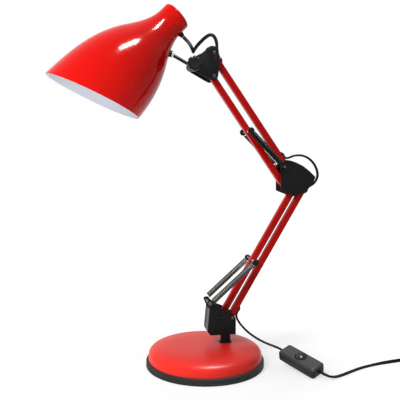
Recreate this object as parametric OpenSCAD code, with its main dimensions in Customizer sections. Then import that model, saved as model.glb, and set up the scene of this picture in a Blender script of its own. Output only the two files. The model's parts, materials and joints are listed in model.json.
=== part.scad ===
// Architect desk lamp: weighted round base, swivelling bracket, two parallelogram
// arms of square tube with balance springs, and a bell shade on a tilting stem.
// Millimetres, +Z up. Origin: centre of the base, on the table.
// The arms lie in the XZ plane. The lower arm leans to +X and the head hangs over -X.

/* [Base] */
// Diameter of the rubber ring that the base stands on
base_d = 180; // [150:1:220]
// Height of the rubber ring
ring_h = 10.5; // [8:0.5:13]
// How far the rubber ring stands out past the dome
ring_ledge = 3.5; // [2:0.5:6]
// Height of the painted dome above the ring
dome_h = 23; // [20:0.5:40]
// Squareness of the dome's shoulder, 2 being an ellipse
dome_power = 4; // [2.2:0.1:5]
// Sheet thickness of the dome
dome_t = 1.2; // [0.8:0.1:2]
// Thickness of the felt pad
pad_t = 1.5; // [1:0.5:2.5]
// Thickness of the steel bottom plate
plate_t = 1.5; // [1:0.5:2.5]
// Distance of the swivel post from the centre of the base
post_x = 32; // [20:1:45]
// Number of screws that hold the bottom plate
base_screw_n = 3; // [3:1:6]

/* [Swivel post] */
// Diameter of the visible post
post_d = 15.5; // [13:0.5:19]
// Height of the visible post
post_h = 13.5; // [10:0.5:30]
// Diameter of the spindle that turns in the base
spindle_d = 12; // [8:0.5:13]
// Outer diameter of the socket sleeve
socket_d = 20; // [18:0.5:24]
// Height of the socket's collar above the dome
socket_rise = 1.6; // [1:0.2:4]

/* [Arms] */
// Width of the square arm tubes
tube_w = 9.6; // [8:0.2:11]
// Wall of the arm tubes
tube_t = 1; // [0.8:0.1:1.5]
// Corner radius of the arm tubes
tube_r = 1.6; // [1.2:0.1:2.5]
// Length of each tube past its pivots
tube_end = 5; // [4.5:0.5:7]
// Pivot to pivot length of the lower arm
lower_len = 231; // [180:1:300]
// Lean of the lower arm from vertical, towards +X
lower_lean = 30.5; // [10:0.5:40]
// Level distance between the two pivots at each end of the lower arm
lower_gap = 15.6; // [15:0.2:20]
// Pivot to pivot length of the upper arm
upper_len = 198.5; // [160:0.5:260]
// Lean of the upper arm from vertical, towards -X
upper_lean = 34.8; // [30:0.1:50]
// Upright distance between the two pivots at each end of the upper arm
upper_gap = 34; // [30:1:45]
// Level distance from the lower arm's pivot to the upper arm's
elbow_reach = 32.3; // [28:0.1:40]

/* [Brackets] */
// Outer width of the lower bracket
foot_w = 30; // [26:1:31]
// Outer width of the elbow and head brackets
joint_w = 25; // [22:1:30]
// Thickness of the bracket sheet
sheet_t = 1.5; // [1:0.1:2]
// Diameter of the pivot rivets
pin_d = 4; // [3:0.2:5]
// Diameter of the rivet heads at the head
pin_head_d = 6.8; // [6:0.2:7.6]
// Diameter of the rivet heads at the foot
foot_head_d = 5; // [4.6:0.2:7]
// Height of the rivet heads
pin_head_h = 1.2; // [0.8:0.1:1.6]
// Outer diameter of the spacer sleeves
sleeve_d = 8; // [7:0.2:9]
// Height of the lower arm's rear pivot above the bracket floor
foot_rise = 24.5; // [22:0.5:30]
// Level distance from the swivel post to the lower arm's rear pivot
foot_reach = 7.6; // [5:0.1:11]

/* [Springs] */
// Outer diameter of the balance springs
spring_d = 9.2; // [7:0.2:9.4]
// Spring wire diameter
wire_d = 1.3; // [1:0.1:1.6]
// Distance of the springs from the arm's middle plane
spring_y = 20.2; // [20.2:0.1:22]
// Distance of the lower cross pin from the lower arm's foot
lower_pin_at = 99; // [80:1:130]
// Distance of the upper cross pin from the elbow
upper_pin_at = 103; // [80:1:120]
// Length of the cross pins
cross_l = 49; // [49:0.5:54]
// Diameter of the caps on the cross pins
cap_d = 10; // [8:0.2:10.4]

/* [Head] */
// Level distance from the upper arm's head pivots to the tilt axis
knob_reach = 31.2; // [28:0.2:40]
// Height of the tilt axis above the head's lower pivot
knob_rise = 16.3; // [12:0.1:22]
// Radius of the clamp knob over its lobes
knob_r = 11; // [10:0.5:13]
// Thickness of the clamp knob's lobed head
knob_h = 12; // [8:0.5:14]
// Length of the knob's neck
knob_neck = 3.5; // [1:0.5:6]
// Number of lobes on the clamp knob
knob_lobes = 8; // [6:1:10]
// Diameter of the clamp bolt
bolt_d = 6; // [5:0.5:6.5]
// Diameter of the stem
stem_d = 5; // [4:0.5:6]
// Distance from the tilt axis to the shade's wall along the stem
stem_len = 37.5; // [34:0.5:50]
// Lean of the stem from vertical, towards -X
stem_lean = 62; // [50:1:75]

/* [Shade] */
// Angle of the shade's axis below level
shade_dip = 44.8; // [30:0.1:60]
// Radius of the shade's neck
neck_r = 21.9; // [20.5:0.1:26]
// Length of the straight neck
neck_l = 14; // [10:1:20]
// Distance from the cap to the middle of the flare
waist_s = 66; // [60:1:75]
// Radius at the middle of the flare
waist_r = 41.3; // [38:0.1:46]
// Steepness of the flare there, radius over length
waist_m = 0.6; // [0.5:0.01:0.7]
// Radius of the mouth
mouth_r = 69.4; // [62:0.1:78]
// Distance from the cap to the rim on the shade's axis
mouth_s = 172.6; // [165:0.1:185]
// Angle of the slanted rim
rim_cut = 20.2; // [0:0.1:25]
// Sheet thickness of the shade
shade_t = 0.9; // [0.7:0.1:1.2]
// Distance from the cap to where the stem meets the wall
stem_s = 47.6; // [42:0.1:55]
// Distance from the cap to the cord gland
gland_s = 16; // [12:0.5:19]
// Diameter of the bulb
bulb_d = 45; // [45:1:60]
// Length of the bulb from its contact to its tip
bulb_l = 78; // [72:1:88]

/* [Switch and plug] */
// Length of the inline switch
switch_l = 68; // [60:1:80]
// Width of the inline switch
switch_w = 26; // [26:1:32]
// Height of the inline switch
switch_h = 16; // [15:0.5:22]
// Radius of the rocker button
rocker_r = 7.6; // [6:0.1:7.8]
// Length of the plug's body
plug_l = 36; // [34:1:40]
// Width of the plug's body
plug_w = 35; // [32:1:36]
// Thickness of the plug's body
plug_h = 13.7; // [13:0.1:15]

/* [Cord] */
// Width of the flat twin cord
cord_w = 5.2; // [5.2:0.1:5.2]
// Thickness of the flat twin cord
cord_t = 3.2; // [3.2:0.1:3.2]

/* [Hidden] */
$fn = 48;

// Clearances
run = 0.05;          // radial, on each pin that turns
slip = 0.1;          // between neighbours that only touch
gap = 0.3;           // between moving neighbours

red = "#d0120c";
black = "#202022";
steel = "#b8bcc0";

// Places on the base
dome_r = base_d / 2 - ring_ledge;
dome_top = ring_h + dome_h;
ring_in = dome_r - 5;
ring_floor = 3;
plate_r = ring_in - slip;
plate_z = pad_t;
weight_z = plate_z + plate_t;
collar_z = dome_top + socket_rise;
floor_z = collar_z + post_h;

// Pivots of the arms, as [x, z]
function turn(p, lean, l) = [p[0] + l * sin(lean), p[1] + l * cos(lean)];
function off(p, d) = [p[0] + d[0], p[1] + d[1]];
foot_rear = [post_x + foot_reach, floor_z + foot_rise];
foot_front = off(foot_rear, [-lower_gap, 0]);
elbow_rear = turn(foot_rear, lower_lean, lower_len);
elbow_front = off(elbow_rear, [-lower_gap, 0]);
knee_front = off(elbow_rear, [-elbow_reach, 0]);
knee_rear = off(knee_front, [0, upper_gap]);
head_low = turn(knee_front, -upper_lean, upper_len);
head_high = off(head_low, [0, upper_gap]);
tilt_axis = off(head_low, [-knob_reach, knob_rise]);

// Cross pins and spring anchors
cross_in = -1.2;     // the cross pins sit this far in front of the tube's axis
eye_w = 1.6;         // thickness of the springs' end loops
function beside(p, lean, l, x) = off(turn(p, lean, l), [x * cos(lean), -x * sin(lean)]);
lower_cross = beside(foot_front, lower_lean, lower_pin_at, cross_in);
upper_cross = beside(knee_front, -upper_lean, upper_pin_at, cross_in);
ear_hole = off(foot_front, [-20, 24.6]);
knee_hole = off(knee_rear, [-6.5, -3.7]);

foot_in = foot_w / 2 - sheet_t;
joint_in = joint_w / 2 - sheet_t;

// Shade: axis direction, and its place from the stem
shade_turn = -(90 + shade_dip);
stem_dir = [sin(-stem_lean), cos(-stem_lean)];
shade_dir = [sin(shade_turn), cos(shade_turn)];
side_dir = [-cos(shade_turn), sin(shade_turn)];
wall_at = off(tilt_axis, stem_dir * stem_len);
cap_at = off(wall_at, -shade_dir * stem_s - side_dir * shade_r(stem_s));
cap_round = 2.5;
mouth_end = mouth_s + mouth_r * tan(rim_cut) + 8;

// Cubic blend between two radii with given slopes
function blend(u, a, ma, b, mb, l) =
    (2 * u * u * u - 3 * u * u + 1) * a + (u * u * u - 2 * u * u + u) * l * ma
    + (3 * u * u - 2 * u * u * u) * b + (u * u * u - u * u) * l * mb;
// Outer radius of the shade at a distance s from its cap
function shade_r(s) =
    s < neck_l ? neck_r
    : s < waist_s ? blend((s - neck_l) / (waist_s - neck_l), neck_r, 0,
                          waist_r, waist_m, waist_s - neck_l)
    : blend(min(1, (s - waist_s) / (mouth_end - waist_s)), waist_r, waist_m,
            mouth_r, 0.03, mouth_end - waist_s);

// Cuts each corner of an outline back to an arc of the given radius
function corner(p, q, s, r, n = 5) =
    let (a = (p - q) / norm(p - q), b = (s - q) / norm(s - q),
         half = acos(max(-1, min(1, a * b))) / 2,
         d = min(r / tan(half), 0.45 * norm(p - q), 0.45 * norm(s - q)),
         rr = d * tan(half), m = (a + b) / norm(a + b), c = q + m * rr / sin(half),
         u = q + a * d - c, v = q + b * d - c,
         w = acos(max(-1, min(1, (u * v) / (norm(u) * norm(v))))))
    [for (i = [0 : n]) c + (u * sin(w * (1 - i / n)) + v * sin(w * i / n)) / sin(w)];
function rounded(pts, r) =
    [for (i = [0 : len(pts) - 1])
        each corner(pts[(i + len(pts) - 1) % len(pts)], pts[i],
                    pts[(i + 1) % len(pts)], is_list(r) ? r[i] : r)];

// Where the inline switch lies, tipped by the stiff cord onto one long edge
switch_at = [133.3, -57.5, 16.55];
switch_pose = [16, 10, -61];
switch_dir = [cos(switch_pose[1]) * cos(switch_pose[2]),
              cos(switch_pose[1]) * sin(switch_pose[2]), -sin(switch_pose[1])];
end_slip = 0.15;     // between the cord and the switch's end faces
function switch_end(s, l) = switch_at + s * (switch_l / 2 + l) * switch_dir;

// Cord routes, as [x, y, z]: points chosen by hand
head_route = [
    [-32.9, 0, 493.6], [-29.6, -0.4, 490.3], [-26.2, -1.8, 486.4], [-23.2, -3.8, 481.8],
    [-21.2, -5.2, 477.2], [-19.4, -4.6, 474], [-18.4, -1.6, 472.6], [-17.8, 1.8, 472.8],
    [-16.6, 4.6, 474.8], [-14.4, 5.4, 478.4], [-10.8, 4.8, 483.2], [-6, 3.6, 488.4],
    [0.5, 1.8, 494.4], [6.6, 0.5, 498], [11.4, 0, 497.6], [15, 0, 493.6],
    [17.2, 0, 487], [18, 0, 479.5], [19.2, 0, 472], [20.8, 0, 466.7], [22.3, 0, 464.5]];
elbow_route = [
    [122.9, 0, 319.9], [124.6, 0, 317.4], [127.8, 0, 316], [132.4, 0, 316.9],
    [139.4, 0, 319.4], [148.2, 0, 320.4], [156, 0, 319.2], [164.4, 0, 315.2],
    [172, 0, 308], [177.2, 0, 298.5], [178.8, 0, 289.8], [176.8, 0, 282.2],
    [171.8, 0, 276], [166.2, 0, 272.6], [163.2, 0, 270.2], [161.3, 0, 266.9]];
drop_route = [
    [51.9, 0, 81.1], [50.3, 0, 78.4], [49.2, 0, 74.4], [49.8, 0, 70], [53, -0.3, 63.5],
    [58.5, -1, 56], [66, -2.2, 48.2], [75, -4, 41], [84.5, -6.8, 35], [94, -10.6, 30.6],
    [102.6, -15, 27.6], [109.8, -20, 25.4], switch_end(-1, 5), switch_end(-1, end_slip)];
run_route = [
    switch_end(1, end_slip), switch_end(1, 5), [154.1, -94, 8.9], [157.2, -95.9, 7.7],
    [160.7, -96.8, 6.4], [166.8, -95.4, 4.4], [177, -89.7, 2.3], [189, -83.1, 1.7],
    [202, -75.9, 1.7], [216, -68.2, 1.7], [230.5, -61.3, 1.7], [246.5, -56, 1.9],
    [263, -52.2, 2.4], [288, -48.3, 3], [312.4, -46, 3.8]];
lead_route = [
    [357.6, -46, 8.8], [361.8, -46, 8.3], [366.6, -46, 7.2], [371.8, -46, 6.9]];

// Coil and plug places
coil_at = [335, -74, 1.2];
coil_r = 28;
coil_cols = 4;
coil_rows = 2;
coil_pitch = cord_t + 0.1;
coil_w = coil_cols * coil_pitch;
coil_h = coil_rows * cord_w;
tie_t = 0.7;
plug_at = [372, -46, 6.9];
relief_l = 12;

// One closed tube along a route, with a flat oval section
SIDES = 8;
function unit(v) = v / norm(v);
function along(p, i) = unit(p[min(i + 1, len(p) - 1)] - p[max(i - 1, 0)]);
// Direction of the cord's wide side, turned about the cord as given in twist:
// [first ring, last ring, angle before, angle after]
function wide(p, i, side, twist) =
    let (t = along(p, i),
         w = unit(is_undef(side) ? [t[1], -t[0], 0] : side - t * (side * t)),
         u = is_undef(twist) ? 0 : min(1, max(0, (i - twist[0]) / (twist[1] - twist[0]))),
         a = is_undef(twist) ? 0 : twist[2] + (twist[3] - twist[2]) * u)
    w * cos(a) + cross(t, w) * sin(a);
function ring_at(p, i, side, twist) =
    let (w = wide(p, i, side, twist), h = cross(along(p, i), w))
    [for (k = [0 : SIDES - 1])
        p[i] + w * (cord_w / 2 * cos(k * 360 / SIDES)) + h * (cord_t / 2 * sin(k * 360 / SIDES))];
module cord(p, side, twist) {
    n = len(p);
    polyhedron(
        points = [for (i = [0 : n - 1]) each ring_at(p, i, side, twist)],
        faces = concat(
            [[for (k = [0 : SIDES - 1]) k]],
            [for (i = [0 : n - 2], k = [0 : SIDES - 1])
                [i * SIDES + k, (i + 1) * SIDES + k,
                 (i + 1) * SIDES + (k + 1) % SIDES, i * SIDES + (k + 1) % SIDES]],
            [[for (k = [SIDES - 1 : -1 : 0]) (n - 1) * SIDES + k]]));
}

// Puts children at an arm-plane point, with local Z along the given lean
module at(p, lean = 0) {
    translate([p[0], 0, p[1]]) rotate([0, lean, 0]) children();
}
// A round bar along Y
module bar_y(p, d, y0, y1) {
    translate([p[0], y0, p[1]]) rotate([-90, 0, 0]) cylinder(d = d, h = y1 - y0);
}
// A flat sheet whose outline is given as [x, z] points
module sheet(pts, y0, y1) {
    translate([0, y1, 0]) rotate([90, 0, 0]) linear_extrude(y1 - y0) polygon(pts);
}
module square_tube(l) {
    linear_extrude(l) difference() {
        polygon(tube_outline(tube_w, tube_r));
        polygon(tube_outline(tube_w - 2 * tube_t, tube_r - tube_t));
    }
}
function tube_outline(w, r) =
    rounded([[w / 2, w / 2], [-w / 2, w / 2], [-w / 2, -w / 2], [w / 2, -w / 2]], r);
// An arm tube from its lower pivot, with a bore for each pivot and one for its cross pin
module arm_tube(p, lean, l, cross_at = undef) {
    at(p, lean) difference() {
        translate([0, 0, -tube_end]) square_tube(l + 2 * tube_end);
        for (z = [0, l]) cross_bore([0, z], pin_d + 2 * run);
        if (!is_undef(cross_at)) cross_bore([cross_in, cross_at], pin_d + 2 * run);
    }
}
module cross_bore(p, d) {
    bar_y(p, d, -tube_w, tube_w);
}
// Pivot rivet: a shank with a domed head at each end
module rivet(p, w, head_d = pin_head_d, proud = true) {
    bar_y(p, pin_d, -w / 2, w / 2);
    if (proud) for (s = [-1, 1]) translate([p[0], s * w / 2, p[1]]) rotate([-90 * s, 0, 0])
        rivet_head(head_d);
}
module rivet_head(d) {
    rotate_extrude() polygon([
        [0, 0], [d / 2, 0], [d / 2, pin_head_h * 0.4], [d * 0.4, pin_head_h * 0.8],
        [d * 0.25, pin_head_h], [0, pin_head_h]]);
}
// The two spacer sleeves of one pivot, between the plates and the tube
module sleeves(p, inner) {
    for (s = [-1, 1]) {
        y0 = tube_w / 2 + slip;
        y1 = inner - slip;
        difference() {
            bar_y(p, sleeve_d, s > 0 ? y0 : -y1, s > 0 ? y1 : -y0);
            bar_y(p, pin_d + 2 * run, -inner, inner);
        }
    }
}

// ---- Base ----
module base_ring() color("#2a2c2a") rotate_extrude($fn = 96) polygon([
    [ring_in, 0], [base_d / 2 - 0.8, 0], [base_d / 2, 0.8], [base_d / 2, ring_h - 1.6],
    [base_d / 2 - 0.6, ring_h - 0.4], [base_d / 2 - 1.6, ring_h], [dome_r, ring_h],
    [dome_r, ring_floor], [ring_in, ring_floor]]);

module base_pad() color("#303030") cylinder(r = plate_r - 0.4, h = pad_t, $fn = 96);

screw_r = ring_in - 14;
screw_d = 4;
screw_head_d = 7.5;
screw_l = 12;
module at_screws() {
    for (i = [0 : base_screw_n - 1]) rotate(90 + i * 360 / base_screw_n)
        translate([screw_r, 0, plate_z]) children();
}
module base_plate() color(steel) difference() {
    translate([0, 0, plate_z]) cylinder(r = plate_r, h = plate_t, $fn = 96);
    at_screws() translate([0, 0, -1]) cylinder(d = screw_head_d + 2 * slip, h = plate_t + 2);
}
module base_screws() color(steel) at_screws() {
    cylinder(d = screw_head_d, h = plate_t);
    cylinder(d = screw_d, h = screw_l);
}

// Height of the dome over a radius r, for a dome of radius rr and height h
function dome_z(r, rr, h) = h * pow(max(0, 1 - pow(r / rr, dome_power)), 1 / dome_power);
function dome_curve(rr, h, z0) =
    [for (a = [0 : 5 : 90]) let (r = rr * pow(sin(a), 2 / dome_power))
        [r, z0 + dome_z(r, rr, h)]];

weight_gap = 1.5;    // inside the dome's shoulder
weight_r = dome_r - dome_t - 3;
weight_h = dome_h - dome_t - 9;
socket_foot_d = socket_d + 8;
socket_foot_h = 2.5;
module base_weight() color("#4a4a4c") difference() {
    rotate_extrude($fn = 96) polygon(concat(
        [[0, weight_z], [weight_r - weight_gap, weight_z]],
        [for (i = [18 : -1 : 0]) dome_curve(weight_r - weight_gap, weight_h, ring_h)[i]]));
    at([post_x, weight_z - 1]) cylinder(d = socket_d + 2 * slip, h = 60);
    at([post_x, weight_z - 1]) cylinder(d = socket_foot_d + 2 * slip, h = socket_foot_h + 1 + slip);
    at_screws() cylinder(d = screw_d + 2 * slip, h = screw_l + 0.5);
}
module base_dome() color(red) difference() {
    rotate_extrude($fn = 96) polygon(concat(
        [[dome_r - dome_t, ring_floor], [dome_r, ring_floor]],
        [for (i = [18 : -1 : 0]) dome_curve(dome_r, dome_h, ring_h)[i]],
        dome_curve(dome_r - dome_t, dome_h - dome_t, ring_h)));
    at([post_x, ring_h]) cylinder(d = socket_d + 2 * slip, h = 60);
}
module post_socket() color(black) difference() {
    union() {
        at([post_x, weight_z]) cylinder(d = socket_foot_d, h = socket_foot_h);
        at([post_x, weight_z]) cylinder(d = socket_d, h = collar_z - weight_z);
    }
    at([post_x, weight_z + 1.5]) cylinder(d = spindle_d + 2 * run, h = 60);
}

// ---- Swivelling foot bracket ----
module swivel_post() color(black) {
    at([post_x, collar_z + slip]) cylinder(d = post_d, h = post_h - slip);
    at([post_x, weight_z + 2.5]) cylinder(d = spindle_d, h = collar_z - weight_z);
}
foot_outline = rounded([
    off(foot_front, [-18.4, -foot_rise]), off(foot_rear, [5.2, -foot_rise]),
    off(foot_rear, [5.2, -2]), off(foot_rear, [3.2, 5]), off(foot_rear, [-7.5, 12.6]),
    off(foot_front, [-4.4, 17.6]), off(ear_hole, [1.4, 3.6]), off(ear_hole, [-2.4, 3.8]),
    off(ear_hole, [-3.6, 0.2]), off(foot_front, [-21.4, 19.6]), off(foot_front, [-19.8, 16.6]),
    off(foot_front, [-22.6, -13.5]), off(foot_front, [-22.8, -19])],
    [3, 1.2, 3, 2, 14, 14, 2.6, 2.6, 2.5, 1.5, 1.5, 8, 4]);
foot_web = rounded([
    off(foot_front, [-19.8, 15]), off(foot_front, [-22.6, -13.5]),
    off(foot_front, [-22.8, -19]), off(foot_front, [-18.4, -foot_rise]),
    off(foot_rear, [5.2, -foot_rise]), off(foot_rear, [5.2, sheet_t - foot_rise]),
    off(foot_front, [-17.6, sheet_t - foot_rise]), off(foot_front, [-21.3, -18.4]),
    off(foot_front, [-21.1, -13.5]), off(foot_front, [-18.3, 15])],
    [0.2, 8, 4, 3, 0.3, 0.3, 2, 3, 7, 0.2]);
module lower_bracket() color(black) difference() {
    union() {
        for (s = [-1, 1])
            sheet(foot_outline, s > 0 ? foot_in : -foot_w / 2, s > 0 ? foot_w / 2 : -foot_in);
        sheet(foot_web, -foot_w / 2, foot_w / 2);
    }
    for (p = [foot_rear, foot_front]) bar_y(p, pin_d + 2 * run, -foot_w, foot_w);
    bar_y(ear_hole, anchor_d + 2 * run, -foot_w, foot_w);
}
module lower_pivot_pins() color("#7a4a34") for (p = [foot_rear, foot_front]) rivet(p, foot_w, foot_head_d);
module lower_spacers() color("#1a1a1a") for (p = [foot_rear, foot_front]) sleeves(p, foot_in);
// Rod that holds the springs' lower loops, with a shoulder outside each plate
anchor_d = 3.2;
anchor_l = 2 * spring_y + 4;
shoulder_d = 5.2;
shoulder_y = spring_y - eye_w / 2 - slip;
module anchor(p, inner, outer) {
    for (s = [-1, 1]) {
        bar_y(p, anchor_d, s > 0 ? inner : -anchor_l / 2, s > 0 ? anchor_l / 2 : -inner);
        bar_y(p, shoulder_d, s > 0 ? outer : -shoulder_y, s > 0 ? shoulder_y : -outer);
    }
}
module lower_spring_anchor() color(steel) anchor(ear_hole, 0, foot_w / 2);

// One pair of balance springs as tubes, each with a flat loop at both ends:
// p is the anchor and q the cross pin
module spring_loop(hook, d) {
    translate([0, eye_w / 2, 0]) rotate([90, 0, 0]) linear_extrude(eye_w) difference() {
        union() {
            circle(d = d + 2 * wire_d);
            translate([-eye_w / 2, 0]) square([eye_w, hook]);
            translate([-spring_d / 2 + 0.4, hook - wire_d]) square([spring_d - 0.8, 2 * wire_d]);
        }
        circle(d = d + 2 * slip);
    }
}
pin_hook = cap_d / 2 + 0.6;
module spring(p, q, hook_p) {
    l = norm([q[0] - p[0], q[1] - p[1]]);
    lean = atan2(q[0] - p[0], q[1] - p[1]);
    for (s = [-1, 1]) translate([0, s * spring_y, 0]) {
        at(p, lean) difference() {
            translate([0, 0, hook_p]) cylinder(d = spring_d, h = l - hook_p - pin_hook);
            cylinder(d = spring_d - 2 * wire_d, h = l);
        }
        at(p, lean) spring_loop(hook_p, anchor_d);
        at(q, lean + 180) spring_loop(pin_hook, pin_d);
    }
}
module lower_springs() color("#808284") spring(ear_hole, lower_cross, 6.5);

// ---- Lower arm ----
hood_h = 3.4;
hood_w = 7;
hood_l = 8;
// Moulded hood on a tube's back face, where the cord goes into the tube
module hood(p, lean, z, up) {
    at(p, lean) translate([tube_w / 2, hood_w / 2, z]) rotate([90, 0, 0])
        linear_extrude(hood_w) polygon(up > 0
            ? [[0, 0], [hood_h, 0], [hood_h * 0.8, hood_l * 0.5], [0, hood_l]]
            : [[0, 0], [hood_h, 0], [hood_h * 0.8, -hood_l * 0.5], [0, -hood_l]]);
}
lower_hood_z = 13.4;
lower_top_hood_z = lower_len - 2.6;
module lower_rear_tube() color(red) arm_tube(foot_rear, lower_lean, lower_len);
module lower_cord_hoods() color(black) {
    hood(foot_rear, lower_lean, lower_hood_z, 1);
    hood(foot_rear, lower_lean, lower_top_hood_z, -1);
}
module lower_front_tube() color(red)
    arm_tube(foot_front, lower_lean, lower_len, lower_pin_at);
module cross_pin(p) {
    bar_y(p, pin_d, -cross_l / 2, cross_l / 2);
}
cap_h = 3;
// Push-on caps that keep the springs on a cross pin
module pin_caps(p) {
    for (s = [-1, 1]) difference() {
        y1 = cross_l / 2 + 0.6;
        bar_y(p, cap_d, s > 0 ? y1 - cap_h : -y1, s > 0 ? y1 : cap_h - y1);
        bar_y(p, pin_d + 2 * run, -cross_l / 2, cross_l / 2);
    }
}
module lower_cross_pin() color(steel) cross_pin(lower_cross);
module lower_pin_caps() color(black) pin_caps(lower_cross);

// ---- Elbow ----
elbow_outline = rounded([
    off(knee_front, [-9.6, -6.6]), off(knee_front, [-2.6, -9.4]), off(elbow_front, [-4.6, -15]),
    off(elbow_rear, [-6, -10.4]), off(elbow_rear, [8.6, 2.6]), off(elbow_rear, [14, 14.6]),
    off(elbow_rear, [4, 24]), off(elbow_rear, [-6.4, 31.8]), off(knee_rear, [15.4, 2.8]),
    off(knee_rear, [6, 6]), off(knee_rear, [-2.6, 7.2]), off(knee_rear, [-9.6, -1])],
    [2.5, 6, 8, 14, 8, 3, 14, 20, 20, 8, 4, 6]);
module elbow_plate(s) {
    difference() {
        sheet(elbow_outline, s > 0 ? joint_in : -joint_w / 2, s > 0 ? joint_w / 2 : -joint_in);
        for (p = [knee_front, knee_rear, elbow_front, elbow_rear])
            bar_y(p, pin_d + 2 * run, -joint_w, joint_w);
        bar_y(knee_hole, anchor_d + 2 * run, -joint_w, joint_w);
    }
}
module elbow_plate_near() color(black) elbow_plate(-1);
module elbow_plate_far() color(black) elbow_plate(1);
module elbow_pivot_pins() color(black)
    for (p = [knee_front, knee_rear, elbow_front, elbow_rear]) rivet(p, joint_w, proud = false);
module elbow_spacers() color("#1a1a1a")
    for (p = [knee_front, knee_rear, elbow_front, elbow_rear]) sleeves(p, joint_in);
module upper_spring_anchor() color(steel) anchor(knee_hole, joint_in, joint_w / 2);
module upper_springs() color("#2c2e2e") spring(knee_hole, upper_cross, 6);

// ---- Upper arm ----
upper_hood_z = 12.6;
upper_top_hood_z = upper_len - 10.4;
module upper_rear_tube() color(red) arm_tube(knee_rear, -upper_lean, upper_len);
module upper_cord_hoods() color(black) {
    hood(knee_rear, -upper_lean, upper_hood_z, 1);
    hood(knee_rear, -upper_lean, upper_top_hood_z, -1);
}
module upper_front_tube() color(red)
    arm_tube(knee_front, -upper_lean, upper_len, upper_pin_at);
module upper_cross_pin() color(steel) cross_pin(upper_cross);
module upper_pin_caps() color(black) pin_caps(upper_cross);

// ---- Head bracket ----
head_outline = rounded([
    off(tilt_axis, [-7, -3.6]), off(tilt_axis, [3, -9.2]), off(head_low, [-10.4, -2.6]),
    off(head_low, [-4, -5.6]), off(head_low, [1.4, -5.4]), off(head_low, [5.6, -1.4]),
    off(head_low, [7.6, 14]), off(head_high, [7.2, -6]), off(head_high, [6.8, 4.6]),
    off(head_high, [3, 10]), off(head_high, [-4.6, 10.8]), off(head_high, [-11.6, 7]),
    off(head_high, [-15, 1.6]), off(tilt_axis, [5, 13.4]), off(tilt_axis, [-6, 6.6])],
    [5, 8, 8, 5, 5, 6, 20, 20, 5, 5, 5, 6, 5, 5, 5]);
module head_plate(s) {
    difference() {
        sheet(head_outline, s > 0 ? joint_in : -joint_w / 2, s > 0 ? joint_w / 2 : -joint_in);
        for (p = [head_low, head_high]) bar_y(p, pin_d + 2 * run, -joint_w, joint_w);
        bar_y(tilt_axis, bolt_d + 2 * run, -joint_w, joint_w);
    }
}
module head_plate_near() color(black) head_plate(-1);
module head_plate_far() color(black) head_plate(1);
module head_pivot_pins() color(black) for (p = [head_low, head_high]) rivet(p, joint_w);
eye_t = 6;
eye_d = 15;
module head_spacers() color("#1a1a1a") {
    for (p = [head_low, head_high]) sleeves(p, joint_in);
    for (s = [-1, 1]) difference() {
        y0 = eye_t / 2 + slip;
        y1 = joint_in - slip;
        bar_y(tilt_axis, eye_d - 1, s > 0 ? y0 : -y1, s > 0 ? y1 : -y0);
        bar_y(tilt_axis, bolt_d + 2 * run, -joint_w, joint_w);
    }
}
bolt_in = 8;         // length of bolt inside the knob's head
module clamp_bolt() color(steel) {
    bar_y(tilt_axis, bolt_d, -joint_w / 2 - gap - knob_neck - bolt_in, joint_w / 2);
    translate([tilt_axis[0], joint_w / 2, tilt_axis[1]]) rotate([-90, 0, 0])
        cylinder(d = 11.5, h = 4, $fn = 6);
}
module clamp_knob() color(black) {
    lobe_r = knob_r * 0.24;
    translate([tilt_axis[0], -joint_w / 2 - gap, tilt_axis[1]]) rotate([90, 0, 0]) difference() {
        union() {
            cylinder(d = eye_d - 2, h = knob_neck);
            translate([0, 0, knob_neck]) cylinder(r = knob_r - lobe_r, h = knob_h);
            for (i = [0 : knob_lobes - 1]) rotate(i * 360 / knob_lobes)
                translate([knob_r - lobe_r, 0, knob_neck + 1])
                    cylinder(r = lobe_r, h = knob_h - 2.5, $fn = 24);
        }
        translate([0, 0, -1]) cylinder(d = bolt_d + 2 * run, h = knob_neck + bolt_in + 1.5);
    }
}

// ---- Stem ----
nut_w = 8.5;
nut_h = 3.2;
saddle_h = 3;
inner_seat = 4;
module stem() color(steel) {
    difference() {
        bar_y(tilt_axis, eye_d, -eye_t / 2, eye_t / 2);
        bar_y(tilt_axis, bolt_d + 2 * run, -eye_t, eye_t);
    }
    at(tilt_axis, -stem_lean) translate([0, 0, eye_d / 2 - 1])
        cylinder(d = stem_d, h = stem_len + inner_seat + nut_h + 2 - eye_d / 2);
}
module nut_at(z) {
    at(tilt_axis, -stem_lean) translate([0, 0, z]) difference() {
        cylinder(d = nut_w, h = nut_h, $fn = 6);
        translate([0, 0, -1]) cylinder(d = stem_d + 2 * run, h = nut_h + 2);
    }
}
module stem_nuts() color(steel) {
    nut_at(stem_len - saddle_h - slip - nut_h);
    nut_at(stem_len + inner_seat + slip);
}

// ---- Shade ----
module in_shade() {
    at(cap_at, shade_turn) children();
}
profile_s = [for (s = [cap_round : 4.5 : mouth_end]) s];
function shade_curve(grow) = concat(
    [for (a = [0 : 30 : 90])
        [shade_r(0) - cap_round + (cap_round + grow) * sin(a),
         cap_round - (cap_round + grow) * cos(a)]],
    [for (s = profile_s) if (s > cap_round + 1) [shade_r(s) + grow, s]]);
module shade_solid(grow) {
    rotate_extrude($fn = 96) polygon(concat(
        [[0, -grow]], shade_curve(grow), [[0, profile_s[len(profile_s) - 1]]]));
}
module shade_shell() color(red) in_shade() difference() {
    shade_solid(0);
    shade_solid(-shade_t);
    translate([0, 0, mouth_s]) rotate([0, -rim_cut, 0]) translate([-150, -150, 0])
        cube([300, 300, 200]);
    gland_hole();
    stem_hole();
}
gland_d = 8.4;
gland_neck_d = 6;
gland_out = 5.6;
module gland_hole() {
    translate([0, 0, gland_s]) rotate([0, -90, 0]) cylinder(d = gland_neck_d + 2 * slip, h = neck_r + 9);
}
module stem_hole() {
    at_stem() cylinder(d = stem_d + 1, h = stem_len + 12);
}
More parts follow.
